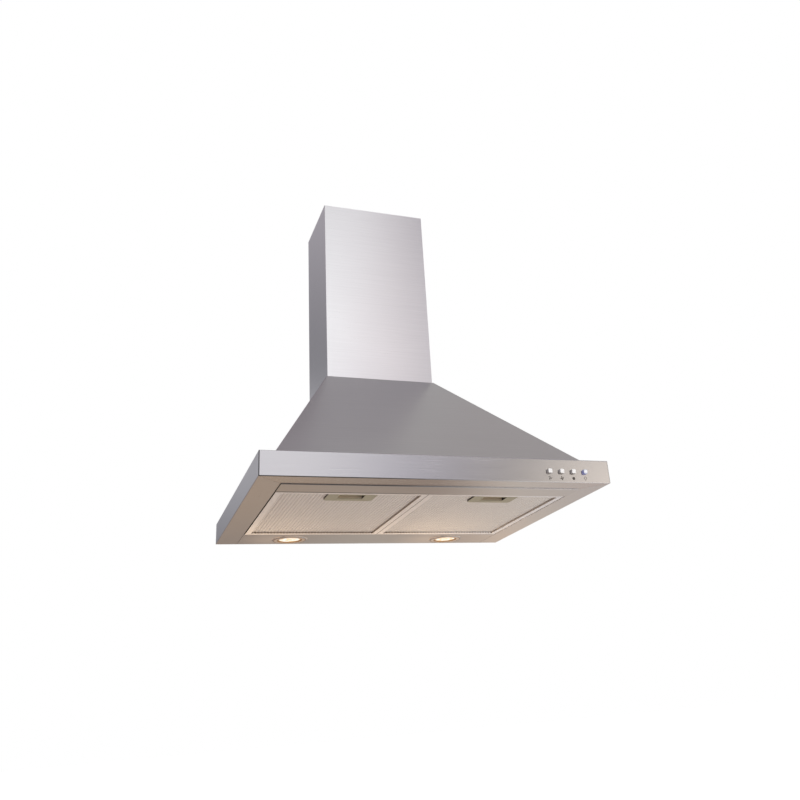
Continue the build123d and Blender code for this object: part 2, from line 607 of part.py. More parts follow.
# Grease filters: an aluminium channel frame round a ridged mesh pack, hooked in at the back
for side, sign in (("left", -1), ("right", 1)):
    x0 = sign * FILTER_X - FILTER_WIDTH / 2
    x1 = sign * FILTER_X + FILTER_WIDTH / 2
    middle = sign * FILTER_X
    tongue_half = TONGUE_WIDTH / 2 + CLEAR

    with BuildPart() as filter_frame:
        with BuildSketch(Plane.XY):
            rectangle_between(x0, x1, FILTER_FRONT, FILTER_BACK)
            rectangle_between(
                x0 + FILTER_STRIP,
                x1 - FILTER_STRIP,
                FILTER_FRONT + FILTER_STRIP,
                FILTER_BACK - FILTER_STRIP,
                Mode.SUBTRACT,
            )
        extrude(amount=FILTER_THICKNESS)
        with BuildSketch(Plane.XY.offset(MESH_RECESS)):
            rectangle_between(
                x0 + FILTER_WALL, x1 - FILTER_WALL, FILTER_FRONT + FILTER_WALL, FILTER_BACK - FILTER_WALL
            )
        extrude(amount=MESH_THICKNESS, mode=Mode.SUBTRACT)
        with BuildSketch(Plane.XY.offset(TAB_HEIGHT)):
            for spread in (-TAB_SPREAD / 2, TAB_SPREAD / 2):
                tab_x = middle + spread
                rectangle_between(
                    tab_x - TAB_WIDTH / 2,
                    tab_x + TAB_WIDTH / 2,
                    FILTER_BACK - FILTER_WALL,
                    FILTER_BACK + TAB_LENGTH,
                )
        extrude(amount=TAB_THICKNESS)
        with BuildSketch(Plane.XY.offset(LATCH_HEIGHT - CLEAR)):
            rectangle_between(middle - tongue_half, middle + tongue_half, FILTER_FRONT - PAST, HANDLE_FRONT)
        extrude(amount=LATCH_THICKNESS + 2 * CLEAR, mode=Mode.SUBTRACT)
    save(filter_frame.part, f"filter_frame_{side}")

    with BuildPart() as filter_mesh:
        inset = FILTER_WALL + CLEAR
        with BuildSketch(Plane.XZ.offset(-(FILTER_BACK - inset))):
            Polygon(*mesh_points(x0 + inset, x1 - inset), align=None)
        extrude(amount=FILTER_LENGTH - 2 * inset)
        with BuildSketch(Plane.XY):
            handle_outline(middle, FILTER_FRONT, CLEAR)
        extrude(amount=FILTER_THICKNESS, mode=Mode.SUBTRACT)
    save(filter_mesh.part, f"filter_mesh_{side}")

    with BuildPart() as filter_handle:
        with BuildSketch(Plane.XY):
            handle_outline(middle, HANDLE_FRONT, 0)
        extrude(amount=FILTER_THICKNESS)
        with BuildSketch(Plane.XY):
            rectangle_between(middle - POCKET_WIDTH / 2, middle + POCKET_WIDTH / 2, POCKET_FRONT, POCKET_BACK)
        extrude(amount=LATCH_TOP + CLEAR, mode=Mode.SUBTRACT)
        with BuildSketch(Plane.XY.offset(LATCH_HEIGHT - CLEAR)):
            rectangle_between(middle - tongue_half, middle + tongue_half, HANDLE_FRONT - PAST, POCKET_FRONT)
        extrude(amount=LATCH_THICKNESS + 2 * CLEAR, mode=Mode.SUBTRACT)
    save(filter_handle.part, f"filter_handle_{side}")

    # At rest the tongue is drawn back just clear of the keeper; LATCH_TRAVEL forwards locks it
    with BuildPart() as filter_latch:
        slider_half = POCKET_WIDTH / 2 - 2 * CLEAR
        with BuildSketch(Plane.XY.offset(LATCH_HEIGHT)):
            rectangle_between(
                middle - slider_half,
                middle + slider_half,
                POCKET_FRONT + LATCH_TRAVEL + CLEAR,
                POCKET_BACK - CLEAR,
            )
            rectangle_between(
                middle - TONGUE_WIDTH / 2,
                middle + TONGUE_WIDTH / 2,
                FILTER_FRONT - TONGUE_PROUD,
                POCKET_FRONT + LATCH_TRAVEL + LATCH_LIP,
            )
        extrude(amount=LATCH_THICKNESS)
        with BuildSketch(Plane.XY.offset(LATCH_LIP_BOTTOM)):
            rectangle_between(
                middle - slider_half,
                middle + slider_half,
                POCKET_BACK - CLEAR - LATCH_LIP,
                POCKET_BACK - CLEAR,
            )
        extrude(amount=LATCH_HEIGHT - LATCH_LIP_BOTTOM)
    save(filter_latch.part, f"filter_latch_{side}")

# Lamps: bezel, lens, can and capsule bulb, the same on both sides
for side, sign in (("left", -1), ("right", 1)):
    lamp_plane = Plane(origin=(sign * LAMP_X, LAMP_Y, 0), x_dir=(1, 0, 0), z_dir=(0, -1, 0))
    lamp_axis = Axis((sign * LAMP_X, LAMP_Y, 0), (0, 0, 1))
    tube_inside = LAMP_TUBE_RADIUS - LAMP_WALL
    can_inside = LAMP_TUBE_RADIUS + CLEAR
    can_outside = can_inside + LAMP_WALL

    with BuildPart() as lamp_bezel:
        with BuildSketch(lamp_plane):
            Polygon(
                (LENS_RADIUS - LAMP_WALL, -LAMP_BEZEL_PROUD),
                (LAMP_BEZEL_RADIUS - LAMP_BEZEL_PROUD, -LAMP_BEZEL_PROUD),
                (LAMP_BEZEL_RADIUS, 0),
                (LAMP_TUBE_RADIUS, 0),
                (LAMP_TUBE_RADIUS, LAMP_TUBE_HEIGHT),
                (tube_inside, LAMP_TUBE_HEIGHT),
                (tube_inside, 0),
                (LENS_RADIUS - LAMP_WALL, 0),
                align=None,
            )
        revolve(axis=lamp_axis)
    save(lamp_bezel.part, f"lamp_bezel_{side}")

    with BuildPart() as lamp_lens:
        with BuildSketch(Plane.XY):
            with Locations((sign * LAMP_X, LAMP_Y)):
                Circle(LENS_RADIUS)
        extrude(amount=LENS_THICKNESS)
    save(lamp_lens.part, f"lamp_lens_{side}")

    with BuildPart() as lamp_can:
        with BuildSketch(lamp_plane):
            Polygon(
                (can_inside, SHEET),
                (can_outside, SHEET),
                (can_outside, LAMP_CAN_HEIGHT),
                (0, LAMP_CAN_HEIGHT),
                (0, LAMP_CAN_HEIGHT - LAMP_WALL),
                (can_inside, LAMP_CAN_HEIGHT - LAMP_WALL),
                align=None,
            )
        revolve(axis=lamp_axis)
    save(lamp_can.part, f"lamp_can_{side}")

    with BuildPart() as lamp_bulb:
        with BuildSketch(Plane.XY.offset(LAMP_CAN_HEIGHT - LAMP_WALL)):
            with Locations((sign * LAMP_X, LAMP_Y)):
                Circle(BULB_RADIUS)
        extrude(amount=-BULB_LENGTH)
        chamfer(lamp_bulb.faces().sort_by(Axis.Z)[0].edges(), BULB_TIP)
    save(lamp_bulb.part, f"lamp_bulb_{side}")

# Buttons: a square cap, a stop flange behind the lip and a round stem into the switch bank
for name, x in zip(BUTTON_NAMES, BUTTON_X):
    with BuildPart() as button:
        with BuildSketch(FRONT_FACE.offset(BUTTON_PROUD)):
            with Locations((x, BUTTON_Z)):
                RectangleRounded(BUTTON_SIZE, BUTTON_SIZE, BUTTON_CORNER)
        flange_depth = SHEET + CLEAR
        extrude(amount=-(BUTTON_PROUD + flange_depth))
        chamfer(button.faces().sort_by(Axis.Y)[0].edges(), BUTTON_EDGE)
        with BuildSketch(FRONT_FACE.offset(-flange_depth)):
            with Locations((x, BUTTON_Z)):
                Rectangle(BUTTON_FLANGE, BUTTON_FLANGE)
        extrude(amount=-BUTTON_FLANGE_THICKNESS)
        with BuildSketch(FRONT_FACE.offset(-flange_depth - BUTTON_FLANGE_THICKNESS)):
            with Locations((x, BUTTON_Z)):
                Circle(BUTTON_STEM_RADIUS)
        extrude(amount=-BUTTON_STEM_LENGTH)
    save(button.part, name)

with BuildPart() as switch_bank:
    with BuildSketch(FRONT_FACE.offset(-SHEET)):
        bank_half = BANK_HEIGHT / 2
        rectangle_between(BANK_LEFT, BANK_RIGHT, BUTTON_Z - bank_half, BUTTON_Z + bank_half)
    extrude(amount=-BANK_DEPTH)
    with BuildSketch(FRONT_FACE.offset(-SHEET)):
        with Locations(*[(x, BUTTON_Z) for x in BUTTON_X]):
            Rectangle(BANK_POCKET, BANK_POCKET)
    extrude(amount=-BANK_POCKET_DEPTH, mode=Mode.SUBTRACT)
    with BuildSketch(FRONT_FACE.offset(-SHEET)):
        with Locations(*[(x, BUTTON_Z) for x in BUTTON_X]):
            Circle(BUTTON_STEM_RADIUS + CLEAR)
    extrude(amount=-BANK_BORE_DEPTH, mode=Mode.SUBTRACT)
save(switch_bank.part, "switch_bank")


def scroll_air():
    """Air space of the scroll, in (y, z): tongue, three growing arcs, then straight up to the outlet."""
    growth = SCROLL_GROWTH
    top = (FAN_Y, FAN_Z + SCROLL_RADIUS)
    front = (FAN_Y - SCROLL_RADIUS, FAN_Z)
    bottom = (FAN_Y + growth, FAN_Z - SCROLL_RADIUS - growth)
    back = (OUTLET_BACK, FAN_Z + growth)
    tongue = (OUTLET_FRONT, FAN_Z + SCROLL_RADIUS)
    with BuildSketch() as air:
        with BuildLine():
            Line((OUTLET_FRONT, FLUE_FOOT + PAST), tongue)
            Line(tongue, top)
            RadiusArc(top, front, -SCROLL_RADIUS)
            RadiusArc(front, bottom, -SCROLL_RADIUS - growth)
            RadiusArc(bottom, back, -SCROLL_RADIUS - 2 * growth)
            Line(back, (OUTLET_BACK, FLUE_FOOT + PAST))
            Line((OUTLET_BACK, FLUE_FOOT + PAST), (OUTLET_FRONT, FLUE_FOOT + PAST))
        make_face()
        fillet(air.vertices().sort_by_distance(Vector(*tongue))[0], SCROLL_TONGUE_RADIUS)
    return air.sketch


# Scroll housing in two halves that meet on the fan's middle plane
with BuildPart() as scroll_right:
    air = scroll_air()
    with BuildSketch(Plane.YZ):
        add(air)
        offset(amount=SCROLL_WALL, kind=Kind.INTERSECTION)
    extrude(amount=SCROLL_FACE)
    with BuildSketch(Plane.YZ):
        add(air)
        offset(amount=SCROLL_WALL + SCROLL_RIM, kind=Kind.INTERSECTION)
    extrude(amount=SCROLL_RIM_THICKNESS)
    with BuildSketch(Plane.YZ):
        add(air)
    extrude(amount=SCROLL_HALF, mode=Mode.SUBTRACT)
    with BuildSketch(FAN_PLANE):
        Circle(INLET_RADIUS)
    extrude(amount=SCROLL_FACE, mode=Mode.SUBTRACT)
    split(bisect_by=Plane.XY.offset(FLUE_FOOT), keep=Keep.BOTTOM)
    with BuildSketch(Plane.XY.offset(FLUE_FOOT)):
        rectangle_between(
            0, SCROLL_FACE + SCROLL_FLANGE, OUTLET_FRONT - SCROLL_FLANGE_END, OUTLET_BACK + SCROLL_FLANGE_END
        )
        rectangle_between(0, SCROLL_HALF, OUTLET_FRONT, OUTLET_BACK, Mode.SUBTRACT)
    extrude(amount=-SCROLL_WALL)
    inlet_edges = scroll_right.edges().filter_by(GeomType.CIRCLE).group_by(Axis.X)[-1]
    chamfer(inlet_edges.filter_by(lambda e: abs(e.radius - INLET_RADIUS) < CLEAR), INLET_EDGE)
    with BuildSketch(FAN_PLANE.offset(SCROLL_FACE)):
        with PolarLocations(GROMMET_CIRCLE, BRACKET_ARMS, start_angle=BRACKET_ARM_START):
            Circle(SCREW_RADIUS + CLEAR)
    extrude(amount=-SCROLL_WALL, mode=Mode.SUBTRACT)
save(scroll_right.part, "scroll_right")

with BuildPart() as scroll_left:
    mirror(scroll_right.part, about=Plane.YZ)
save(scroll_left.part, "scroll_left")

# Squirrel-cage impeller: forward-curved blades through a middle disc, closed by a ring at each end
with BuildSketch() as blade:
    with BuildLine():
        RadiusArc((BLADE_INSIDE, 0), (IMPELLER_RADIUS - BLADE_THICKNESS, BLADE_SWEEP), BLADE_RADIUS)
    trace(line_width=BLADE_THICKNESS)

with BuildPart() as impeller:
    with BuildSketch(FAN_PLANE):
        with PolarLocations(0, BLADE_COUNT):
            add(blade.sketch)
    extrude(amount=IMPELLER_HALF, both=True)
    for end in (-1, 1):
        with BuildSketch(FAN_PLANE.offset(end * IMPELLER_HALF)):
            Circle(IMPELLER_RADIUS)
            Circle(BLADE_INSIDE, mode=Mode.SUBTRACT)
        extrude(amount=-end * IMPELLER_RING)
    with BuildSketch(FAN_PLANE):
        Circle(IMPELLER_RADIUS)
    extrude(amount=HUB_DISC / 2, both=True)
    with BuildSketch(FAN_PLANE):
        Circle(HUB_RADIUS)
    extrude(amount=-HUB_LENGTH)
    with BuildSketch(FAN_PLANE):
        Circle(SHAFT_RADIUS + SHAFT_FIT)
    extrude(amount=HUB_LENGTH, both=True, mode=Mode.SUBTRACT)
save(impeller.part, "impeller")

with BuildPart() as motor_shaft:
    with BuildSketch(FAN_PLANE.offset(-HUB_LENGTH)):
        Circle(SHAFT_RADIUS)
    extrude(amount=HUB_LENGTH + MOTOR_FROM_DISC + SHAFT_IN_MOTOR)
save(motor_shaft.part, "motor_shaft")

with BuildPart() as motor:
    with BuildSketch(FAN_SECTION):
        Polygon(
            (MOTOR_FROM_DISC, 0),
            (MOTOR_FROM_DISC, BEARING_RADIUS),
            (MOTOR_START, BEARING_RADIUS),
            (MOTOR_START, MOTOR_RADIUS - MOTOR_SHOULDER),
            (MOTOR_START + MOTOR_SHOULDER, MOTOR_RADIUS),
            (MOTOR_END - MOTOR_SHOULDER, MOTOR_RADIUS),
            (MOTOR_END, MOTOR_RADIUS - MOTOR_SHOULDER),
            (MOTOR_END, 0),
            align=None,
        )
    revolve(axis=FAN_AXIS)
    with BuildSketch(FAN_PLANE.offset(MOTOR_FROM_DISC)):
        Circle(SHAFT_RADIUS + SHAFT_RUNNING)
    extrude(amount=SHAFT_IN_MOTOR + CLEAR, mode=Mode.SUBTRACT)
save(motor.part, "motor")

# Motor bracket: three arms across the inlet, standing on rubber grommets
with BuildPart() as motor_bracket:
    with BuildSketch(FAN_PLANE.offset(MOTOR_END)):
        Circle(MOTOR_RADIUS - MOTOR_SHOULDER)
        with PolarLocations(GROMMET_CIRCLE / 2, BRACKET_ARMS, start_angle=BRACKET_ARM_START):
            Rectangle(GROMMET_CIRCLE, BRACKET_ARM_WIDTH)
        with PolarLocations(GROMMET_CIRCLE, BRACKET_ARMS, start_angle=BRACKET_ARM_START):
            Circle(BRACKET_ARM_WIDTH / 2)
            Circle(SCREW_RADIUS + CLEAR, mode=Mode.SUBTRACT)
    extrude(amount=BRACKET_THICKNESS)
save(motor_bracket.part, "motor_bracket")

with BuildPart() as motor_grommets:
    with BuildSketch(FAN_PLANE.offset(SCROLL_FACE)):
        with PolarLocations(GROMMET_CIRCLE, BRACKET_ARMS, start_angle=BRACKET_ARM_START):
            Circle(GROMMET_RADIUS)
            Circle(SCREW_RADIUS + CLEAR, mode=Mode.SUBTRACT)
    extrude(amount=GROMMET_THICKNESS)
save(motor_grommets.part, "motor_grommets")

with BuildPart() as motor_screws:
    with BuildSketch(FAN_PLANE.offset(BRACKET_END)):
        with PolarLocations(GROMMET_CIRCLE, BRACKET_ARMS, start_angle=BRACKET_ARM_START):
            RegularPolygon(SCREW_RADIUS, SCREW_SIDES)
    extrude(amount=SCROLL_HALF - BRACKET_END)
    with BuildSketch(FAN_PLANE.offset(BRACKET_END)):
        with PolarLocations(GROMMET_CIRCLE, BRACKET_ARMS, start_angle=BRACKET_ARM_START):
            RegularPolygon(SCREW_HEAD_RADIUS, SCREW_SIDES)
    extrude(amount=SCREW_HEAD)
save(motor_screws.part, "motor_screws")

# Outlet collar: flange, spigot for the duct and an inner seat for the damper flaps
COLLAR_SCREW_CIRCLE = COLLAR_RADIUS + COLLAR_FLANGE / 2

with BuildPart() as outlet_collar:
    with BuildSketch(DUCT_SECTION):
        seat_bottom = SEAT_TOP - DAMPER_SEAT_THICKNESS
        Polygon(
            (COLLAR_INSIDE, PLATE_TOP),
            (COLLAR_EDGE, PLATE_TOP),
            (COLLAR_EDGE, PLATE_TOP + COLLAR_FLANGE_THICKNESS),
            (COLLAR_RADIUS, PLATE_TOP + COLLAR_FLANGE_THICKNESS),
            (COLLAR_RADIUS, PLATE_TOP + COLLAR_HEIGHT),
            (COLLAR_INSIDE, PLATE_TOP + COLLAR_HEIGHT),
            (COLLAR_INSIDE, SEAT_TOP),
            (COLLAR_INSIDE - DAMPER_SEAT_WIDTH, SEAT_TOP),
            (COLLAR_INSIDE - DAMPER_SEAT_WIDTH, seat_bottom),
            (COLLAR_INSIDE, seat_bottom),
            align=None,
        )
    revolve(axis=DUCT_AXIS)
    with BuildSketch(Plane.YZ):
        with Locations((DUCT_Y, PIN_Z)):
            Circle(PIN_RADIUS + SHAFT_FIT)
    extrude(amount=COLLAR_RADIUS, both=True, mode=Mode.SUBTRACT)
    with BuildSketch(Plane.XY.offset(PLATE_TOP)):
        with Locations((0, DUCT_Y)):
            with PolarLocations(COLLAR_SCREW_CIRCLE, COLLAR_SCREWS, start_angle=180 / COLLAR_SCREWS):
                Circle(SCREW_RADIUS + CLEAR)
    extrude(amount=COLLAR_FLANGE_THICKNESS, mode=Mode.SUBTRACT)
save(outlet_collar.part, "outlet_collar")

with BuildPart() as collar_screws:
    head_z = PLATE_TOP + COLLAR_FLANGE_THICKNESS
    with BuildSketch(Plane.XY.offset(head_z)):
        with Locations((0, DUCT_Y)):
            with PolarLocations(COLLAR_SCREW_CIRCLE, COLLAR_SCREWS, start_angle=180 / COLLAR_SCREWS):
                RegularPolygon(SCREW_HEAD_RADIUS, SCREW_SIDES)
    extrude(amount=SCREW_HEAD)
    with BuildSketch(Plane.XY.offset(head_z)):
        with Locations((0, DUCT_Y)):
            with PolarLocations(COLLAR_SCREW_CIRCLE, COLLAR_SCREWS, start_angle=180 / COLLAR_SCREWS):
                RegularPolygon(SCREW_RADIUS, SCREW_SIDES)
    extrude(amount=-COLLAR_FLANGE_THICKNESS)
save(collar_screws.part, "collar_screws")

with BuildPart() as damper_pin:
    with BuildSketch(Plane.YZ):
        with Locations((DUCT_Y, PIN_Z)):
            Circle(PIN_RADIUS)
    extrude(amount=COLLAR_RADIUS - CLEAR, both=True)
save(damper_pin.part, "damper_pin")

# Damper flaps: half discs with alternate knuckles on one pin
FLAP_RADIUS = COLLAR_INSIDE - FLAP_EDGE_GAP
KNUCKLE_GAP = KNUCKLE_PITCH - KNUCKLE_WIDTH
KNUCKLE_STARTS = [
    KNUCKLE_PITCH * (i - KNUCKLE_COUNT / 2) + KNUCKLE_GAP / 2 for i in range(KNUCKLE_COUNT)
]

for name, sign, starts in (("flap_front", -1, KNUCKLE_STARTS[0::2]), ("flap_back", 1, KNUCKLE_STARTS[1::2])):
    with BuildPart() as flap:
        with BuildSketch(Plane(origin=(0, DUCT_Y, PIN_Z - FLAP_THICKNESS / 2))):
            Circle(FLAP_RADIUS)
            near, far = sorted((sign * FLAP_PIN_GAP, -sign * (FLAP_RADIUS + PAST)))
            rectangle_between(-FLAP_RADIUS - PAST, FLAP_RADIUS + PAST, near, far, Mode.SUBTRACT)
            for start in starts:
                low, high = sorted((0, sign * (FLAP_PIN_GAP + KNUCKLE_RADIUS)))
                rectangle_between(start, start + KNUCKLE_WIDTH, low, high)
        extrude(amount=FLAP_THICKNESS)
        for start in starts:
            with BuildSketch(Plane.YZ.offset(start)):
                with Locations((DUCT_Y, PIN_Z)):
                    Circle(KNUCKLE_RADIUS)
            extrude(amount=KNUCKLE_WIDTH)
        with BuildSketch(Plane.YZ):
            with Locations((DUCT_Y, PIN_Z)):
                Circle(PIN_RADIUS + SHAFT_RUNNING)
        extrude(amount=FLAP_RADIUS, both=True, mode=Mode.SUBTRACT)
    save(flap.part, name)

# Cable gland in the top plate
with BuildPart() as cable_gland:
    with BuildSketch(Plane.XY.offset(FLUE_FOOT - GLAND_BELOW)):
        with Locations((GLAND_X, DUCT_Y)):
            Circle(GLAND_RADIUS - CLEAR)
    extrude(amount=GLAND_BELOW + SHEET + GLAND_HEIGHT)
    with BuildSketch(Plane.XY.offset(PLATE_TOP)):
        with Locations((GLAND_X, DUCT_Y)):
            RegularPolygon(GLAND_HEX, 6)
    extrude(amount=GLAND_HEX_HEIGHT)
    with BuildSketch(Plane.XY.offset(PLATE_TOP + GLAND_HEIGHT)):
        with Locations((GLAND_X, DUCT_Y)):
            Circle(GLAND_BORE_RADIUS)
    extrude(amount=-GLAND_HEIGHT - GLAND_BELOW - SHEET, mode=Mode.SUBTRACT)
save(cable_gland.part, "cable_gland")

# Control box on the back panel above the right lamp, its cover, and the transformer above the left lamp
BOX_FRONT = -SHEET - BOX_DEPTH
LEAD_Z = BOX_BOTTOM + TRANSFORMER_HEIGHT / 2
BOX_LEAD_Y = -SHEET - (BOX_DEPTH - BOX_COVER) / 2
LEAD_Y = -SHEET - 2 * LEAD_RADIUS - BOX_EDGE

with BuildPart() as control_box:
    with BuildSketch(Plane.XZ.offset(SHEET)):
        rectangle_between(LAMP_X - BOX_WIDTH / 2, LAMP_X + BOX_WIDTH / 2, BOX_BOTTOM, BOX_TOP)
    extrude(amount=BOX_DEPTH - BOX_COVER)
    fillet(control_box.edges().filter_by(Axis.Y), BOX_EDGE)
save(control_box.part, "control_box")

with BuildPart() as control_cover:
    with BuildSketch(Plane.XZ.offset(SHEET + BOX_DEPTH - BOX_COVER)):
        rectangle_between(LAMP_X - BOX_WIDTH / 2, LAMP_X + BOX_WIDTH / 2, BOX_BOTTOM, BOX_TOP)
    extrude(amount=BOX_COVER)
    fillet(control_cover.edges().filter_by(Axis.Y), BOX_EDGE)
    chamfer(control_cover.faces().sort_by(Axis.Y)[0].edges(), COVER_EDGE)
save(control_cover.part, "control_cover")

with BuildPart() as lamp_transformer:
    with BuildSketch(Plane.XZ.offset(SHEET)):
        rectangle_between(
            -LAMP_X - BOX_WIDTH / 2, -LAMP_X + BOX_WIDTH / 2, BOX_BOTTOM, BOX_BOTTOM + TRANSFORMER_HEIGHT
        )
    extrude(amount=BOX_DEPTH)
    fillet(lamp_transformer.edges().filter_by(Axis.Y), BOX_EDGE)
save(lamp_transformer.part, "lamp_transformer")

with BuildPart() as capacitor:
    with BuildSketch(Plane.XY.offset(BOX_TOP)):
        with Locations((LAMP_X, BOX_LEAD_Y)):
            Circle(CAPACITOR_RADIUS)
    extrude(amount=CAPACITOR_LENGTH)
    chamfer(capacitor.faces().sort_by(Axis.Z)[-1].edges(), CAPACITOR_EDGE)
save(capacitor.part, "capacitor")

# Leads that the hood holds from end to end
with BuildPart() as lamp_leads:
    with BuildSketch(Plane.XY.offset(LAMP_CAN_HEIGHT)):
        with Locations((-LAMP_X, LAMP_Y + LAMP_WALL), (LAMP_X, LAMP_Y + LAMP_WALL)):
            RegularPolygon(LEAD_RADIUS, LEAD_SIDES)
    extrude(amount=LAMP_LEAD_LENGTH)
save(lamp_leads.part, "lamp_leads")

with BuildPart() as transformer_lead:
    with BuildSketch(Plane.YZ.offset(-LAMP_X + BOX_WIDTH / 2)):
        with Locations((LEAD_Y, LEAD_Z)):
            RegularPolygon(LEAD_RADIUS, LEAD_SIDES)
    extrude(amount=2 * LAMP_X - BOX_WIDTH)
save(transformer_lead.part, "transformer_lead")

with BuildPart() as switch_cable:
    lip_x = (BANK_RIGHT + HOOD_WIDTH / 2 - SHEET) / 2
    bank_y = (BANK_BACK - HOOD_DEPTH + SHEET) / 2
    box_side = LAMP_X + BOX_WIDTH / 2
    with BuildLine() as route:
        FilletPolyline(
            (BANK_RIGHT, bank_y, BUTTON_Z),
            (lip_x, bank_y, BUTTON_Z),
            (lip_x, BOX_LEAD_Y, BUTTON_Z),
            (box_side + SWITCH_RISER, BOX_LEAD_Y, BUTTON_Z),
            (box_side + SWITCH_RISER, BOX_LEAD_Y, LEAD_Z),
            (box_side, BOX_LEAD_Y, LEAD_Z),
            radius=LEAD_BEND,
        )
    with BuildSketch(Plane(route.line @ 0, z_dir=route.line % 0)):
        RegularPolygon(LEAD_RADIUS, LEAD_SIDES)
    sweep()
save(switch_cable.part, "switch_cable")

with BuildPart() as motor_lead:
    lead_z = BOX_BOTTOM + BOX_HEIGHT / 2
    with BuildLine() as route:
        FilletPolyline(
            (BRACKET_END, FAN_Y, FAN_Z),
            (LAMP_X, FAN_Y, FAN_Z),
            (LAMP_X, FAN_Y, lead_z),
            (LAMP_X, BOX_FRONT, lead_z),
            radius=LEAD_BEND,
        )
    with BuildSketch(Plane(route.line @ 0, z_dir=route.line % 0)):
        RegularPolygon(LEAD_RADIUS, LEAD_SIDES)
    sweep()
save(motor_lead.part, "motor_lead")
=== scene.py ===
import math

import bpy
from mathutils import Matrix, Vector


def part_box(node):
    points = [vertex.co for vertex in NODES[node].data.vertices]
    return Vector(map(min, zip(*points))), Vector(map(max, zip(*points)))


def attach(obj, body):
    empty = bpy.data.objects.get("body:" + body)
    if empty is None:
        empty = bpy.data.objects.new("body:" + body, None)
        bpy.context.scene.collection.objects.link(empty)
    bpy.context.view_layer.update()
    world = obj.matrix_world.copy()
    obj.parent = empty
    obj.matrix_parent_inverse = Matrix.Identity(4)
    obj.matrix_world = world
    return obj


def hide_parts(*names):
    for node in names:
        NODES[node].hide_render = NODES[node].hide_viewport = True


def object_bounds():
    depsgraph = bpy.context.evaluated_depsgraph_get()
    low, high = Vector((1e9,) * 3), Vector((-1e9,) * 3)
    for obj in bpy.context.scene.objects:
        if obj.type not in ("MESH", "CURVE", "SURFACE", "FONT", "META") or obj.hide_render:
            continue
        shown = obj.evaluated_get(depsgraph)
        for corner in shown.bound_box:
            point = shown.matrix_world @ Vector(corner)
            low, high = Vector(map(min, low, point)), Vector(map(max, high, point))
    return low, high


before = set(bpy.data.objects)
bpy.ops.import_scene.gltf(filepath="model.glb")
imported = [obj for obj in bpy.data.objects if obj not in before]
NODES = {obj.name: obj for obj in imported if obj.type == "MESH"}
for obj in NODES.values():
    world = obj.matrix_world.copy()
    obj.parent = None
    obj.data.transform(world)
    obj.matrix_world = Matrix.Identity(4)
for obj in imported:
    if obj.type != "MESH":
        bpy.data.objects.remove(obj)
CAD_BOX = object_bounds()
SIDES = ("left", "right")
MM = 0.001


def mm(*lengths):
    """Millimetres as metres."""
    return tuple(length * MM for length in lengths)


# Camera, found from the corners of the hood in an 800 x 800 picture
IMAGE_PX = 800
CAMERA_PLACE = (-0.5026, -1.7675, -0.3539)
CAMERA_AZIMUTH = 23.613
CAMERA_ELEVATION = 23.849
CAMERA_ROLL = -5.012
FOCAL_PX = 867.7
CENTRE_PX = (465.3, 335.9)
SENSOR_MM = 36.0

# Studio, in metres
FLOOR_Z = -0.75
FLOOR_SIZE = 80.0
FRONT_CARD_Y = -2.6
BACK_CARD_Y = 1.0
SWEEP_HALF_WIDTH = 4.0
SWEEP_TOP = 4.25
LEFT_WALL_EDGE = 0.01
FLOOR_CARD_LIFT = 0.01
FLOOR_CARD_ACROSS = (-2.0, 2.0)
FLOOR_CARD_DEEP = (-2.5, 0.95)

# Heights between which one card fades into the next, in metres
COUNTER_FADE = (-0.36, -0.24)
REAR_COUNTER_FADE = (-0.12, 0.10)
BEHIND_FADE = (1.5, 2.1)
LOW_FRONT_FADE = (0.75, 1.1)
HIGH_FRONT_FADE = (1.4, 2.2)
TOP_FRONT_FADE = (2.4, 3.0)

# Studio light, where a strength of 1 is white
ROOM_LIGHT = 0.95
CARD_STRENGTH = 2.6
FLOOR_PAPER = (0.85, 0.85, 0.85, 1.0)
FLOOR_WHITENING = 0.45
WHITE = (1.0, 1.0, 1.0, 1.0)


def card(*colour):
    """A card's brightness as a share of CARD_STRENGTH."""
    return tuple(channel / CARD_STRENGTH for channel in colour)


def stops_along(low, high, stops):
    """Ramp stops from places in metres and the card's colour there."""
    return [((at - low) / (high - low), colour) for at, colour in stops]


def stops_across(*stops):
    """Ramp stops across the width of the sweep."""
    return stops_along(-SWEEP_HALF_WIDTH, SWEEP_HALF_WIDTH, stops)


LEFT_WALL = card(0.18, 0.18, 0.19)
CEILING_STOPS = stops_across(
    (0.0, card(0.33, 0.32, 0.34)),
    (1.6, card(0.47, 0.45, 0.50)),
)
BEHIND_STOPS = stops_along(FLOOR_Z, SWEEP_TOP, [
    (0.15, card(0.26, 0.26, 0.29)),
    (0.45, card(0.56, 0.56, 0.60)),
    (0.80, card(0.20, 0.20, 0.22)),
    (1.40, card(0.43, 0.41, 0.45)),
])
HIGH_BEHIND_STOPS = stops_across(
    (0.30, card(0.38, 0.34, 0.38)),
    (0.80, card(0.60, 0.60, 0.60)),
    (1.25, card(0.53, 0.50, 0.50)),
)
REAR_COUNTER_STOPS = stops_across(
    (-0.1, card(0.25, 0.23, 0.23)),
    (0.3, card(0.75, 0.70, 0.63)),
    (0.8, card(1.10, 0.82, 0.61)),
    (1.2, card(0.31, 0.35, 0.30)),
)
COUNTER_STOPS = stops_across(
    (-0.7, card(0.28, 0.17, 0.13)),
    (-0.2, card(0.69, 0.52, 0.37)),
    (0.55, card(0.23, 0.15, 0.11)),
    (0.85, card(0.68, 0.63, 0.58)),
    (1.2, card(0.73, 0.58, 0.53)),
)
LOW_FRONT_STOPS = stops_across(
    (-0.5, card(0.87, 0.87, 0.93)),
    (0.2, card(1.24, 1.21, 1.27)),
    (0.75, card(0.43, 0.42, 0.53)),
    (1.15, card(0.34, 0.31, 0.26)),
    (1.50, card(1.52, 1.37, 1.22)),
)
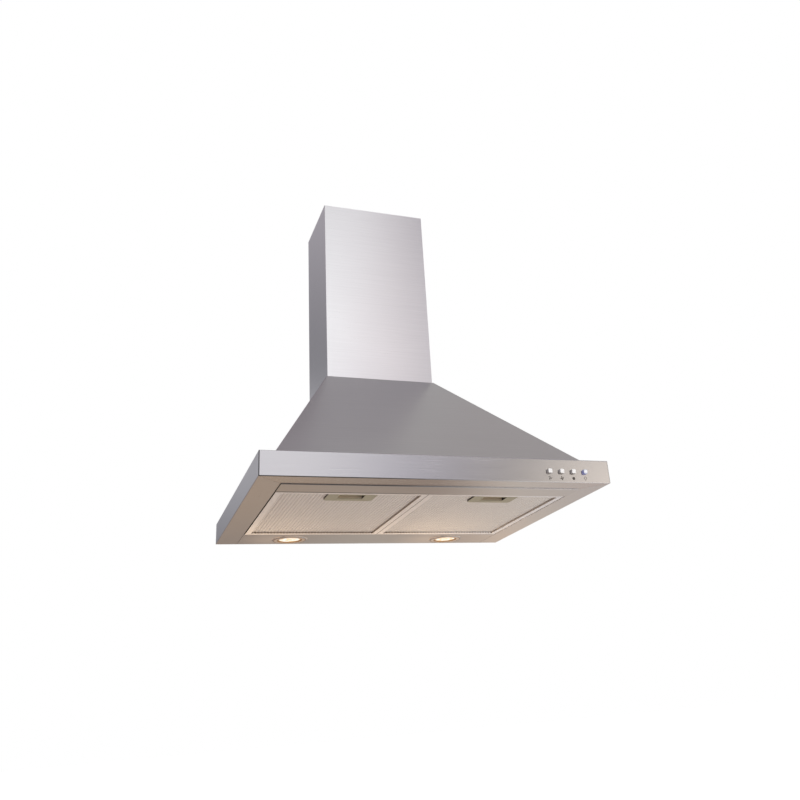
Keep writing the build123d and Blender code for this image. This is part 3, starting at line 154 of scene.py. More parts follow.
HIGH_FRONT_STOPS = stops_across(
    (-0.5, card(1.19, 1.18, 1.23)),
    (0.45, card(1.42, 1.50, 1.50)),
    (0.73, card(1.46, 1.35, 1.35)),
    (1.00, card(1.29, 1.21, 1.21)),
    (1.40, card(0.24, 0.31, 0.44)),
)
TOP_FRONT_STOPS = stops_across(
    (0.45, card(1.00, 1.00, 1.02)),
    (0.73, card(1.00, 1.01, 1.06)),
    (1.00, card(0.08, 0.06, 0.08)),
    (1.40, card(0.16, 0.18, 0.28)),
)
FLOOR_CARD_STOPS = stops_along(*FLOOR_CARD_ACROSS, [
    (-0.6, (0.33, 0.23, 0.19)),
    (0.2, (0.47, 0.42, 0.40)),
    (1.0, (0.76, 0.82, 0.84)),
])

# Lamp light on the filters: power in watts, colour, and size and place from the lens in metres
GLOW_WATTS = {"left": 0.38, "right": 0.50}
GLOW_COLOUR = (1.0, 0.76, 0.50)
GLOW_SIZE = 0.05
GLOW_SHIFT = (-0.05, -0.05, -0.13)

# Colours that several finishes share
BLACK = (0.0, 0.0, 0.0)
STEEL = (0.56, 0.55, 0.55)
# The flue's steel: STEEL painted 1.5 times as light, as painted light
FLUE_STEEL_PAINTED_LIGHTER = (0.84, 0.825, 0.825)
# Pale colour of the painted glint on the steel bends
PAINTED_GLINT_COLOUR = (0.88, 0.83, 0.79)
HANDLE = (0.46, 0.42, 0.29)
# Painted shade on the handles' left-facing walls
HANDLE_PAINTED_SHADE = (0.035, 0.027, 0.02)
# Painted warm shade on the lamp bezels
WARM_PAINTED_SHADE = (0.50, 0.31, 0.17)
# Colour of the painted glow of lamp light on the light panel
PAINTED_LAMP_SPILL = (0.12, 0.085, 0.06)

# Textures, in waves per metre, the first two along and across the brushing
ALONG = 9.0
ACROSS = 1100.0
SMUDGES = 7.0
SPANGLES = 90.0
METAL_GRAIN = 400.0
MOTOR_GRAIN = 220.0
FINE_GRAIN = 500.0
PLASTIC_PITS = 900.0
PLASTIC_CLOUDS = 18.0
GLASS_PATCHES = 130.0
BEZEL_GRAIN = 600.0
BUTTON_GRAIN = 1500.0

# Fine grain: depth in metres and strength of its bump
BRUSH_BUMP = (0.00006, 0.35)
METAL_BUMP = (0.00005, 0.25)
PLASTIC_BUMP = (0.00008, 0.3)

# Bends of the steel: widths, and places where their painted shade or painted glint fades
LIP_DEPTH = -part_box("lip_front")[0].y
CORNER_EDGE, RAIL_EDGE, RAIL_BEND = mm(2.0, 0.8, 3.0)
LOWER_BEND_HEIGHT = mm(0.8, 1.6)
INNER_BEND = mm(0.5, 1.1)
INNER_BEND_END = mm(12.0, 2.0)
RAIL_REAR_SHADE = mm(8.0, 4.8)

# Strength of the painted shade and of the painted glint on the bends
PAINTED_BEND_SHADE = 0.15
RIGHT_CORNER_SHADE = 0.3
RAIL_FRONT_DARK = 0.85
RAIL_REAR_DARK = 0.8
GLINT = 0.8

# Stretches along the hood's width where painted shade gives way to painted light, in metres
FRONT_BEND_SHADE = (-0.15, 0.10)
FRONT_BEND_GLINT = (0.0, 0.25)
RAIL_SHADE = (-0.12, 0.08)
RAIL_FRONT_GLINT = (0.02, 0.14)
RAIL_BEND_GLINT = (0.12, 0.24)
STRIP_PAINTED_WHITER = (-0.05, 0.25)
WALL_PAINTED_DOTS_BRIGHTER = (0.0, 0.16)

# Lamps: where the noise of the glass turns white hot, then distances from the middle of the lens
HOT_PATCH = (0.46, 0.58)
LENS_RIM = mm(19.0, 21.5)
BEZEL_INNER_EDGE = mm(23.6, 25.0)
BEZEL_LINE_START = mm(29.6, 30.2)
BEZEL_STEEL = mm(30.4, 31.2)
BEZEL_LINE_END = mm(30.8, 31.4)
BEZEL_WALL, SPILL_SHIFT, SPILL_REACH = mm(32.0, 38.0, 85.0)

# Filters: lengths, then the strength of their random dulling and of their painted shades and painted
# lights
MESH_PITCH, MESH_CELL, MESH_DIP = mm(6.0, 6.0, 0.4)
HOLE_DEPTH, HOLE_HALF_WIDTH, HOLE_HALF_LENGTH = mm(1.4, 0.9, 1.8)
FRAME_STRIP, FILTER_SIDE_GAP, HANDLE_CORNER = mm(10.0, 2.5, 6.0)
POCKET_DEPTH = mm(1.5, 3.5)
# Painted light inside the handles' finger pockets: colour factor and glow
POCKET_PAINTED_LIGHT = 2.1
POCKET_PAINTED_GLOW = 0.5
MESH_DULLING = 0.06
FRAME_DULLING = 0.12
DOT_SHARE = 0.55
WALL_LIFT = 0.25
DOT_LIFT = 0.25
DOT_LIFT_RIGHT = 0.5

# Buttons and the signs below them
BUTTON_DARK_SIDE = mm(2.0, 2.6)
BUTTON_DISC = 3.1 * MM
# Share of the front colour given as a painted glow on every button's front
BUTTON_FRONT_PAINTED_GLOW = 0.22
BUTTON_SIDE_GLOW = 0.45
SIGN_DROP, SIGN_SIDE, SIGN_PROUD = mm(11.5, 0.4, 0.12)

# Walls that meet at less than this many degrees are shaded as one curve
SMOOTH_BELOW = 30


class Value:
    """A shader socket that can stand in a sum: each operator adds one Math node."""

    def __init__(self, finish, socket):
        self.finish = finish
        self.socket = socket

    def __add__(self, other):
        return self.finish.math("ADD", self, other)

    def __sub__(self, other):
        return self.finish.math("SUBTRACT", self, other)

    def __rsub__(self, other):
        return self.finish.math("SUBTRACT", other, self)

    def __mul__(self, other):
        return self.finish.math("MULTIPLY", self, other)

    def __truediv__(self, other):
        return self.finish.math("DIVIDE", self, other)

    def __abs__(self):
        return self.finish.math("ABSOLUTE", self)

    def above(self, limit):
        return self.finish.math("GREATER_THAN", self, limit)

    def to_and_fro(self, reach):
        """Runs from 0 up to reach and back again, over and over."""
        return self.finish.math("PINGPONG", self, reach)

    __radd__ = __add__
    __rmul__ = __mul__


class Finish:
    """One node material. node() adds any shader node; the other methods are common short cuts."""

    def __init__(self, owner):
        owner.use_nodes = True
        self.owner = owner
        self.tree = owner.node_tree
        self.tree.nodes.clear()

    def node(self, kind, settings=None, sockets=None, output=0):
        made = self.tree.nodes.new(kind)
        for name, value in (settings or {}).items():
            if name == "stops":
                self.set_stops(made.color_ramp, value)
            else:
                setattr(made, name, value)
        for name, value in (sockets or {}).items():
            if isinstance(value, Value):
                self.tree.links.new(value.socket, made.inputs[name])
            else:
                made.inputs[name].default_value = value
        return Value(self, made.outputs[output])

    @staticmethod
    def set_stops(ramp, stops):
        while len(ramp.elements) < len(stops):
            ramp.elements.new(1.0)
        for element, (place, colour) in zip(ramp.elements, stops):
            element.position = place
            element.color = (*colour, 1.0)

    def math(self, operation, *inputs):
        return self.node("ShaderNodeMath", {"operation": operation}, dict(enumerate(inputs)))

    def vector(self, operation, *inputs, output="Vector"):
        return self.node("ShaderNodeVectorMath", {"operation": operation}, dict(enumerate(inputs)), output)

    def place(self):
        return self.node("ShaderNodeTexCoord", output="Object")

    def part_of_place(self, axis):
        return self.node("ShaderNodeSeparateXYZ", sockets={"Vector": self.place()}, output=axis)

    def facing(self, axis):
        """How far a surface faces along an axis."""
        normal = self.node("ShaderNodeTexCoord", output="Normal")
        return self.node("ShaderNodeSeparateXYZ", sockets={"Vector": normal}, output=axis)

    def faces(self, axis, way=1.0):
        """1 where a surface faces along an axis, or against it where way is -1."""
        return (self.facing(axis) * way).above(0.5)

    def upright(self):
        """1 on walls, 0 on what faces up or down."""
        up = self.facing("Z")
        return 1.0 - (up * up).above(0.5)

    def fade(self, value, start, end):
        """Rises smoothly from 0 at start to 1 at end."""
        sockets = {"Value": value, "From Min": start, "From Max": end}
        return self.node("ShaderNodeMapRange", {"interpolation_type": "SMOOTHSTEP"}, sockets)

    def noise(self, scale, detail=2.0, roughness=0.5):
        """Noise with so many waves per metre: one number, or one for each axis."""
        scales = scale if isinstance(scale, tuple) else (scale, scale, scale)
        stretched = self.node("ShaderNodeMapping", sockets={"Vector": self.place(), "Scale": scales})
        sockets = {"Vector": stretched, "Scale": 1.0, "Detail": detail, "Roughness": roughness}
        return self.node("ShaderNodeTexNoise", sockets=sockets)

    def mix(self, share, first, second):
        sockets = {0: share, 6: self.colour(first), 7: self.colour(second)}
        return self.node("ShaderNodeMix", {"data_type": "RGBA"}, sockets, output=2)

    @staticmethod
    def colour(value):
        return value if isinstance(value, Value) else (*value, 1.0)

    def tones(self, share, colour, first, last):
        """A colour whose strength goes from first to last as the share goes from 0 to 1."""
        return self.mix(share, shade(colour, first), shade(colour, last))

    def ramp(self, stops, place):
        return self.node("ShaderNodeValToRGB", {"stops": stops}, {"Fac": place})

    def bump(self, height, distance, strength):
        sockets = {"Height": height, "Distance": distance, "Strength": strength}
        return self.node("ShaderNodeBump", sockets=sockets)

    def surface(self, **sockets):
        named = {name.replace("_", " "): value for name, value in sockets.items()}
        return self.node("ShaderNodeBsdfPrincipled", sockets=named)

    def end(self, shader, kind="ShaderNodeOutputMaterial"):
        output = self.tree.nodes.new(kind)
        self.tree.links.new(shader.socket, output.inputs["Surface"])
        return self.owner


def new_finish(name):
    return Finish(bpy.data.materials.new(name))


def shade(colour, factor):
    return tuple(channel * factor for channel in colour)


def about(middle, texture, spread):
    """A number that a texture from 0 to 1 moves round its middle."""
    return middle + spread * (texture - 0.5)


def near_edge(f, axis, place, width):
    """1 on the last part of a sheet before a place, measured outwards along an axis."""
    outwards = f.part_of_place(axis) * math.copysign(1.0, place)
    return f.fade(outwards, abs(place) - width, abs(place) - width / 2)


def towards_right(f, stretch):
    return f.fade(f.part_of_place("X"), *stretch)


def lower_bend(f):
    """1 along the lower bend of the front lip."""
    height = 1.0 - f.fade(f.part_of_place("Z"), *LOWER_BEND_HEIGHT)
    return near_edge(f, "Y", -LIP_DEPTH, CORNER_EDGE) * height


def front_painted_shade(f):
    """Painted shade on the upright corner edges of the front lip, weaker at the right corner, and, towards
    the left, on its lower bend.
    """
    left = CAD_BOX[0][0]
    right_corner = near_edge(f, "X", -left, CORNER_EDGE)
    corners = near_edge(f, "X", left, CORNER_EDGE) + RIGHT_CORNER_SHADE * right_corner
    return corners + lower_bend(f) * (1.0 - towards_right(f, FRONT_BEND_SHADE))


def front_painted_glint(f):
    """Painted glint on the lower bend of the front lip towards the right."""
    return GLINT * lower_bend(f) * towards_right(f, FRONT_BEND_GLINT)


def side_painted_shade(f):
    """Painted shade on the upright corner edges of the side lips."""
    return near_edge(f, "Y", -LIP_DEPTH, CORNER_EDGE)


def side_painted_glint(f):
    """Painted glint on the inner bend of the right lip beside the filter."""
    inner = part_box("filter_frame_right")[1].x + FILTER_SIDE_GAP
    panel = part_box("light_panel")[0].y
    x = f.part_of_place("X")
    bend = x.above(0.0) * (1.0 - f.fade(x, *(inner + width for width in INNER_BEND)))
    end = f.fade(f.part_of_place("Y"), *(panel - before for before in INNER_BEND_END))
    return GLINT * bend * (1.0 - end)


def rail_front(f, width):
    return near_edge(f, "Y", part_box("front_rail")[0].y, width)


def rail_painted_shade(f):
    """Painted shade on the front wall and rear edge of the rail towards the left, and on its left end."""
    low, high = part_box("front_rail")
    left_end = near_edge(f, "X", low.x, RAIL_EDGE)
    rear = f.fade(f.part_of_place("Y"), *(high.y - before for before in RAIL_REAR_SHADE))
    shaded = RAIL_FRONT_DARK * rail_front(f, RAIL_EDGE) + RAIL_REAR_DARK * rear
    return shaded * (1.0 - towards_right(f, RAIL_SHADE)) + left_end


def rail_painted_glint(f):
    """Painted glint on the front wall and front bend of the rail at the right."""
    wall = rail_front(f, RAIL_EDGE) * towards_right(f, RAIL_FRONT_GLINT)
    return wall + GLINT * rail_front(f, RAIL_BEND) * towards_right(f, RAIL_BEND_GLINT)


def painted_lamp_spill(f):
    """Painted pool of warm lamp light on the panel beside each lamp, given as glow."""
    total = 0.0
    for side in SIDES:
        low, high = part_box(f"lamp_lens_{side}")
        middle = ((low.x + high.x) / 2 - SPILL_SHIFT, (low.y + high.y) / 2, low.z)
        away = f.vector("DISTANCE", f.place(), middle, output="Value")
        total = total + (1.0 - f.fade(away, 0.0, SPILL_REACH))
    return f.mix(total, BLACK, PAINTED_LAMP_SPILL)


def brushed_steel(name, colour, stretch, roughness, drawn=0.0, edge=None, glint=None, spill=None):
    """Stainless sheet: streaks along the brushing, faint handling marks, painted shade and painted glints
    on the bends that edge and glint pick out, and a painted glow of lamp light where spill is given.
    """
    f = new_finish(name)
    streak = f.noise(stretch, detail=3.0, roughness=0.65)
    smudge = f.noise(SMUDGES, detail=3.0)
    tone = f.tones(streak, colour, first=0.90, last=1.10)
    metallic = 1.0
    glow = {}
    if edge:
        # Painted shade: the steel darkened on the bends
        tone = f.mix(edge(f), tone, shade(colour, PAINTED_BEND_SHADE))
    if glint:
        # Painted glint: a pale, less metallic colour on the bends
        bright = glint(f)
        tone = f.mix(bright, tone, PAINTED_GLINT_COLOUR)
        metallic = 1.0 - bright
    if spill:
        # Painted glow of lamp light, given as emission
        glow = {"Emission_Color": spill(f), "Emission_Strength": 1.0}
    return f.end(
        f.surface(
            Base_Color=tone,
            Metallic=metallic,
            Roughness=about(about(roughness, streak, spread=0.10), smudge, spread=0.06),
            Anisotropic=drawn,
            Anisotropic_Rotation=0.25,
            Normal=f.bump(streak, *BRUSH_BUMP),
            **glow,
        )
    )


def zinc_sheet(name, colour):
    """Galvanised sheet: soft grey spangle."""
    f = new_finish(name)
    sockets = {"Vector": f.place(), "Scale": SPANGLES}
    spangle = f.node("ShaderNodeTexVoronoi", sockets=sockets, output="Color")
    grey = f.node("ShaderNodeRGBToBW", sockets={"Color": spangle})
    return f.end(
        f.surface(
            Base_Color=f.tones(grey, colour, first=0.82, last=1.12),
            Metallic=1.0,
            Roughness=0.36 + 0.18 * grey,
        )
    )


def plain_metal(name, colour, roughness, grain=METAL_GRAIN):
    """Turned, cast or rolled metal with a fine grain."""
    f = new_finish(name)
    mottle = f.noise(grain, detail=3.0)
    return f.end(
        f.surface(
            Base_Color=f.tones(mottle, colour, first=0.88, last=1.10),
            Metallic=1.0,
            Roughness=about(roughness, mottle, spread=0.12),
            Normal=f.bump(mottle, *METAL_BUMP),
        )
    )


def moulded_plastic(name, colour, roughness):
    """Plastic with a fine moulded grain and a little unevenness in its colour."""
    f = new_finish(name)
    pits = f.noise(PLASTIC_PITS)
    cloud = f.noise(PLASTIC_CLOUDS)
    return f.end(
        f.surface(
            Base_Color=f.tones(cloud, colour, first=0.90, last=1.10),
            Roughness=about(roughness, pits, spread=0.14),
            Normal=f.bump(pits, *PLASTIC_BUMP),
        )
    )


def mesh_rows(side):
    """How many ridges one filter's mesh has across its width."""
    low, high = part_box(f"filter_mesh_{side}")
    return round((high.x - low.x) / MESH_PITCH)


def ridged_aluminium(name, colour, roughness):
    """Satin mesh with painted shade in its valleys between brighter ridges, and a faint random dulling."""
    f = new_finish(name)
    low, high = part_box("filter_mesh_right")
    half_pitch = (high.x - low.x) / mesh_rows("right") / 2
    outwards = abs(f.part_of_place("X")) - low.x
    valley = outwards.to_and_fro(half_pitch) / half_pitch
    mottle = f.noise(METAL_GRAIN, detail=3.0)
    # Painted shade: each valley darker than its ridges
    tone = f.tones(valley, colour, first=1.03, last=0.92)
    return f.end(
        f.surface(
            Base_Color=f.mix(MESH_DULLING * mottle, tone, BLACK),
            Metallic=0.65,
            Roughness=about(roughness, mottle, spread=0.12),
            Normal=f.bump(mottle, *METAL_BUMP),
        )
    )


def wall_shade(f):
    """Painted shade on the walls of the filter frames, deep at the left, lifted and dotted with painted
    light to the right.
    """
    half_pitch = MESH_PITCH / 2
    dots = f.part_of_place("X").to_and_fro(half_pitch).above(DOT_SHARE * half_pitch)
    right = towards_right(f, WALL_PAINTED_DOTS_BRIGHTER)
    lift = WALL_LIFT * right + dots * (DOT_LIFT + DOT_LIFT_RIGHT * right)
    return f.upright() * (1.0 - lift)


def frame_aluminium(name):
    """Satin filter frame: strips painted warm at the left and whiter to the right as painted light, with
    painted shade on the walls.
    """
    f = new_finish(name)
    grain = f.noise(FINE_GRAIN, detail=3.0)
    # warm and white are painted light across the strips, in_shade the colour of the painted shade on the
    # walls
    warm, white = (0.98, 0.91, 0.84), (1.0, 0.99, 0.99)
    dull, in_shade = (0.80, 0.76, 0.72), (0.30, 0.23, 0.17)
    strip = f.mix(towards_right(f, STRIP_PAINTED_WHITER), warm, white)
    flat = f.mix(FRAME_DULLING * grain, strip, dull)
    return f.end(
        f.surface(
            Base_Color=f.mix(wall_shade(f), flat, in_shade),
            Metallic=0.15,
            Roughness=about(0.40, grain, spread=0.1),
            Normal=f.bump(grain, *METAL_BUMP),
        )
    )


def handle_plastic(name):
    """Olive plastic with painted light inside its finger pocket, a lighter colour and a glow, and painted
    shade on its left-facing walls.
    """
    f = new_finish(name)
    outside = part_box("filter_handle_left")[0].z
    deep = f.fade(f.part_of_place("Z"), *(outside + depth for depth in POCKET_DEPTH))
    inside = deep * (1.0 - f.faces("Z"))
    dark = f.faces("X", -1.0)
    grain = f.noise(FINE_GRAIN, detail=3.0)
    flat = f.tones(grain, HANDLE, first=0.92, last=1.06)
    lit = f.mix(inside, flat, shade(HANDLE, POCKET_PAINTED_LIGHT))
    return f.end(
        f.surface(
            Base_Color=f.mix(dark, lit, HANDLE_PAINTED_SHADE),
            Roughness=about(0.5, grain, spread=0.1),
            Emission_Color=f.mix(inside * (1.0 - dark), BLACK, shade(HANDLE, POCKET_PAINTED_GLOW)),
            Emission_Strength=1.0,
            Normal=f.bump(grain, *METAL_BUMP),
        )
    )


def from_lamp(f):
    """Distance from the middle of the nearer lamp, seen from below."""
    low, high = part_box("lamp_lens_right")
    middle = ((low.x + high.x) / 2, -(low.y + high.y) / 2, 0.0)
    mirrored = f.vector("ABSOLUTE", f.place())
    flat = f.vector("MULTIPLY", mirrored, (1.0, 1.0, 0.0))
    return f.vector("DISTANCE", flat, middle, output="Value")


def lit_lens(name):
    """Lamp glass, white hot in patches, cream round them and amber at its rim."""
    f = new_finish(name)
    cream, white_hot, amber_rim = (0.98, 0.72, 0.43), (1.0, 0.96, 0.88), (0.34, 0.21, 0.11)
    patches = f.noise(GLASS_PATCHES, detail=1.0)
    core = f.mix(f.fade(patches, *HOT_PATCH), cream, white_hot)
    return f.end(
        f.surface(
            Base_Color=(0.04, 0.035, 0.03, 1.0),
            Roughness=0.3 + 0.2 * patches,
            Emission_Color=f.mix(f.fade(from_lamp(f), *LENS_RIM), core, amber_rim),
            Emission_Strength=1.0,
        )
    )


def lamp_ring(name):
    """Satin bezel: an amber inner edge and an amber outline, painted warm shade, round a cream ring, then
    bare steel; its upright outer wall is painted a warm lit colour as painted light.
    """
    f = new_finish(name)
    away = from_lamp(f)
    deep_cream, pale_cream, lit_wall = (0.86, 0.76, 0.66), (0.94, 0.84, 0.74), (0.74, 0.62, 0.52)
    grain = f.noise(BEZEL_GRAIN)
    cream = f.mix(grain, deep_cream, pale_cream)
    inner = f.mix(f.fade(away, *BEZEL_INNER_EDGE), WARM_PAINTED_SHADE, cream)
    outer = f.mix(f.fade(away, *BEZEL_STEEL), inner, STEEL)
    line = f.fade(away, *BEZEL_LINE_START) * (1.0 - f.fade(away, *BEZEL_LINE_END))
    # lit_wall is painted light on the bezel's upright outer wall
    wall = f.upright() * away.above(BEZEL_WALL)
    return f.end(
        f.surface(
            Base_Color=f.mix(wall, f.mix(line, outer, WARM_PAINTED_SHADE), lit_wall),
            Metallic=1.0 - wall,
            Roughness=0.32 + 0.1 * grain,
        )
    )


def button_cap(name, button, front, side, foot, glow=BLACK, ring=None):
    """Button with a bright satin front given a painted glow, darker sides that take the steel colour with
    a glow by the lip, lit round its edge where it has a lamp.
    """
    f = new_finish(name)
    low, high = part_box(button)
    is_front, is_below, is_above = f.faces("Y", -1.0), f.faces("Z", -1.0), f.faces("Z")
    at_lip = f.fade(f.part_of_place("Y"), *(low.y + depth for depth in BUTTON_DARK_SIDE))
    grain = f.noise(BUTTON_GRAIN)
    face = f.tones(grain, front, first=0.94, last=1.0)
    if ring:
        off_x = f.part_of_place("X") - (low.x + high.x) / 2
        off_z = f.part_of_place("Z") - (low.z + high.z) / 2
        face = f.mix((off_x * off_x + off_z * off_z).above(BUTTON_DISC**2), face, ring)
    sides = f.mix(is_above, shade(glow, BUTTON_SIDE_GLOW), BLACK)
    # By the lip: the steel colour and the foot glow, painted light on the plain buttons and the lamp's
    # blue on the lit one
    around = f.mix(at_lip, f.mix(is_below, sides, glow), foot)
    return f.end(
        f.surface(
            Base_Color=f.mix(is_front, f.mix(at_lip, side, STEEL), face),
            Roughness=0.28 + 0.1 * grain,
            Specular_IOR_Level=0.15,
            Emission_Color=f.mix(is_front, around, shade(front, BUTTON_FRONT_PAINTED_GLOW)),
            Emission_Strength=1.0,
        )
    )


FINISHES = {
    "flue_steel": brushed_steel("flue_steel", FLUE_STEEL_PAINTED_LIGHTER, (ALONG, ALONG, ACROSS), 0.30, drawn=0.8),
    "canopy_sheet": brushed_steel("canopy_sheet", STEEL, (ALONG, ALONG, ACROSS), 0.32),
    "panel": brushed_steel("panel", STEEL, (ALONG, ACROSS, ACROSS), 0.30, spill=painted_lamp_spill),
    "lip_front": brushed_steel(
        "lip_front", STEEL, (ALONG, ACROSS, ACROSS), 0.25, edge=front_painted_shade, glint=front_painted_glint
    ),
    # The side lips take STEEL painted 6 % lighter, as painted light
    "lip_side": brushed_steel(
        "lip_side", shade(STEEL, 1.06), (ACROSS, ALONG, ACROSS), 0.30, edge=side_painted_shade, glint=side_painted_glint
    ),
    "rail": brushed_steel("rail", STEEL, (ALONG, ACROSS, ACROSS), 0.30, edge=rail_painted_shade, glint=rail_painted_glint),
    "zinc": zinc_sheet("zinc", (0.60, 0.61, 0.62)),
    "filter_aluminium": frame_aluminium("filter_aluminium"),
    "mesh_aluminium": ridged_aluminium("mesh_aluminium", (0.92, 0.88, 0.83), 0.55),
    # Dark finish of the mesh hole floors and covered valleys, as painted shade
    "mesh_hole_painted_shade": moulded_plastic("mesh_hole_painted_shade", (0.36, 0.31, 0.26), 0.7),
    "handle_plastic": handle_plastic("handle_plastic"),
    "latch_plastic": moulded_plastic("latch_plastic", (0.47, 0.39, 0.28), 0.5),
    "bezel": lamp_ring("bezel"),
    "lens": lit_lens("lens"),
    "lamp_can": plain_metal("lamp_can", (0.70, 0.70, 0.70), 0.42),
    "button": button_cap(
        "button",
        "button_fan_low",
        front=(0.98, 0.965, 0.93),
        side=(0.07, 0.04, 0.02),
        foot=(0.035, 0.022, 0.01),
    ),
    "button_lit": button_cap(
        "button_lit",
        "button_light",
        front=(0.95, 0.96, 0.98),
        side=(0.05, 0.055, 0.10),
        foot=(0.005, 0.012, 0.16),
        glow=(0.006, 0.014, 0.30),
        ring=(0.42, 0.46, 0.54),
    ),
    "black_plastic": moulded_plastic("black_plastic", (0.035, 0.035, 0.038), 0.5),
    "fan_plastic": moulded_plastic("fan_plastic", (0.17, 0.175, 0.185), 0.5),
    "motor": plain_metal("motor", (0.32, 0.33, 0.34), 0.45, grain=MOTOR_GRAIN),
    "bright_steel": plain_metal("bright_steel", (0.62, 0.62, 0.62), 0.25),
    "rubber": moulded_plastic("rubber", (0.025, 0.025, 0.025), 0.75),
    "box_plastic": moulded_plastic("box_plastic", (0.66, 0.66, 0.63), 0.45),
    "lead": moulded_plastic("lead", (0.42, 0.42, 0.43), 0.5),
    "print": moulded_plastic("print", (0.12, 0.10, 0.085), 0.6),
}

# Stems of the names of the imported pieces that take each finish
DRESSED = {
    "lip_front": ["lip_front"],
    "lip_side": ["lip_left", "lip_right"],
    "canopy_sheet": ["canopy"],
    "flue_steel": ["flue_lower", "flue_upper"],
    "rail": ["front_rail"],
    "panel": ["light_panel"],
    "zinc": ["back_panel", "top_plate", "flue_bracket", "motor_bracket"],
    "filter_aluminium": ["filter_frame"],
    "mesh_aluminium": ["filter_mesh"],
    "handle_plastic": ["filter_handle"],
    "latch_plastic": ["filter_latch"],
    "bezel": ["lamp_bezel"],
    "lens": ["lamp_lens", "lamp_bulb"],
    "lamp_can": ["lamp_can"],
    "button": ["button_fan"],
    "button_lit": ["button_light"],
    "black_plastic": ["switch_bank", "outlet_collar", "flap", "cable_gland"],
    "fan_plastic": ["scroll", "impeller"],
    "motor": ["motor"],
    "bright_steel": ["motor_shaft", "motor_screws", "damper_pin", "collar_screws"],
    "rubber": ["motor_grommets"],
    "box_plastic": ["control", "lamp_transformer", "capacitor"],
    "lead": ["motor_lead", "lamp_leads", "transformer_lead", "switch_cable"],
}


def dress_node(name, material):
    """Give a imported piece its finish, with curved walls shaded smooth."""
    mesh = NODES[name].data
    mesh.materials.clear()
    mesh.materials.append(material)
    mesh.shade_smooth()
    mesh.set_sharp_from_angle(angle=math.radians(SMOOTH_BELOW))


def dress_nodes():
    """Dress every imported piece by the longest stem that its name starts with."""
    finish_of = {stem: finish for finish, stems in DRESSED.items() for stem in stems}
    longest_first = sorted(finish_of, key=len, reverse=True)
    for name in NODES:
        stem = next(s for s in longest_first if name.startswith(s))
        dress_node(name, FINISHES[finish_of[stem]])


def new_object(name, points, faces, materials):
    mesh = bpy.data.meshes.new(name)
    mesh.from_pydata(points, [], faces)
    mesh.validate()
    for material in materials:
        mesh.materials.append(material)
    made = bpy.data.objects.new(name, mesh)
    bpy.context.scene.collection.objects.link(made)
    return made


def new_piece(name, points, faces, materials, body):
    """A piece of the hood that moves with a body."""
    piece = new_object(name, points, faces, materials)
    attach(piece, body)
    return piece


class MeshSheet:
    """Collects the points and faces of one filter's expanded mesh."""

    def __init__(self):
        self.points = []
        self.faces = []
        self.dark = []
        self.known = {}

    def point(self, *place):
        key = tuple(round(c, 7) for c in place)
        if key not in self.known:
            self.known[key] = len(self.points)
            self.points.append(place)
        return self.known[key]

    def face(self, corners, into, dark=False):
        """Adds a face that looks away from the middle of the mesh pack."""
        outwards = corners if into < 0 else corners[::-1]
        self.faces.append(tuple(self.point(*c) for c in outwards))
        self.dark.append(dark)

    def cell(self, x0, x1, y0, y1, outside, into):
        """One dimple between two ridges with a diamond hole in its floor."""
        x, y = (x0 + x1) / 2, (y0 + y1) / 2
        dip = outside + into * MESH_DIP
        sunk = dip + into * HOLE_DEPTH
        across, along = HOLE_HALF_WIDTH, HOLE_HALF_LENGTH
        diamond = [(x, y - along), (x + across, y), (x, y + along), (x - across, y)]
        rim = [(*p, dip) for p in diamond]
        floor = [(*p, sunk) for p in diamond]
        c0, c1, c2, c3 = [(*p, outside) for p in ((x0, y0), (x1, y0), (x1, y1), (x0, y1))]
        m0, m1 = (x, y0, dip), (x, y1, dip)
        front, right, back, left = rim
        walls = [
            (c0, m0, front, left),
            (m0, c1, right, front),
            (c1, c2, right),
            (c2, m1, back, right),
            (m1, c3, left, back),
            (c3, c0, left),
        ]
        for i in range(4):
            n = (i + 1) % 4
            walls.append((rim[i], rim[n], floor[n], floor[i]))
        for corners in walls:
            self.face(corners, into)
        # The hole's closed floor takes the dark finish, as painted shade
        self.face(floor, into, dark=True)

    def covered(self, x0, x1, y0, y1, outside, into):
        """A stretch behind the frame's strip: bright ridge tips, with the valleys given the dark finish as
        painted shade.
        """
        dip = outside + into * MESH_DIP
        slope = (outside + dip) / 2
        heights = (outside, slope, dip, slope, outside)
        for k in range(4):
            a, b = (x0 + (x1 - x0) * part / 4 for part in (k, k + 1))
            za, zb = heights[k], heights[k + 1]
            corners = [(a, y0, za), (b, y0, zb), (b, y1, zb), (a, y1, za)]
            self.face(corners, into, dark=k in (1, 2))


def within_handle(x0, x1, y1, low, high):
    """Whether a cell lies wholly inside the handle's outline, which has round rear corners."""
    inset_x, inset_y = min(x0 - low.x, high.x - x1), high.y - y1
    short_x, short_y = max(HANDLE_CORNER - inset_x, 0.0), max(HANDLE_CORNER - inset_y, 0.0)
    return inset_x >= 0 and inset_y >= 0 and math.hypot(short_x, short_y) <= HANDLE_CORNER


def marks(low, high, count):
    """Even marks that divide a length into so many steps."""
    return [low + (high - low) * i / count for i in range(count + 1)]


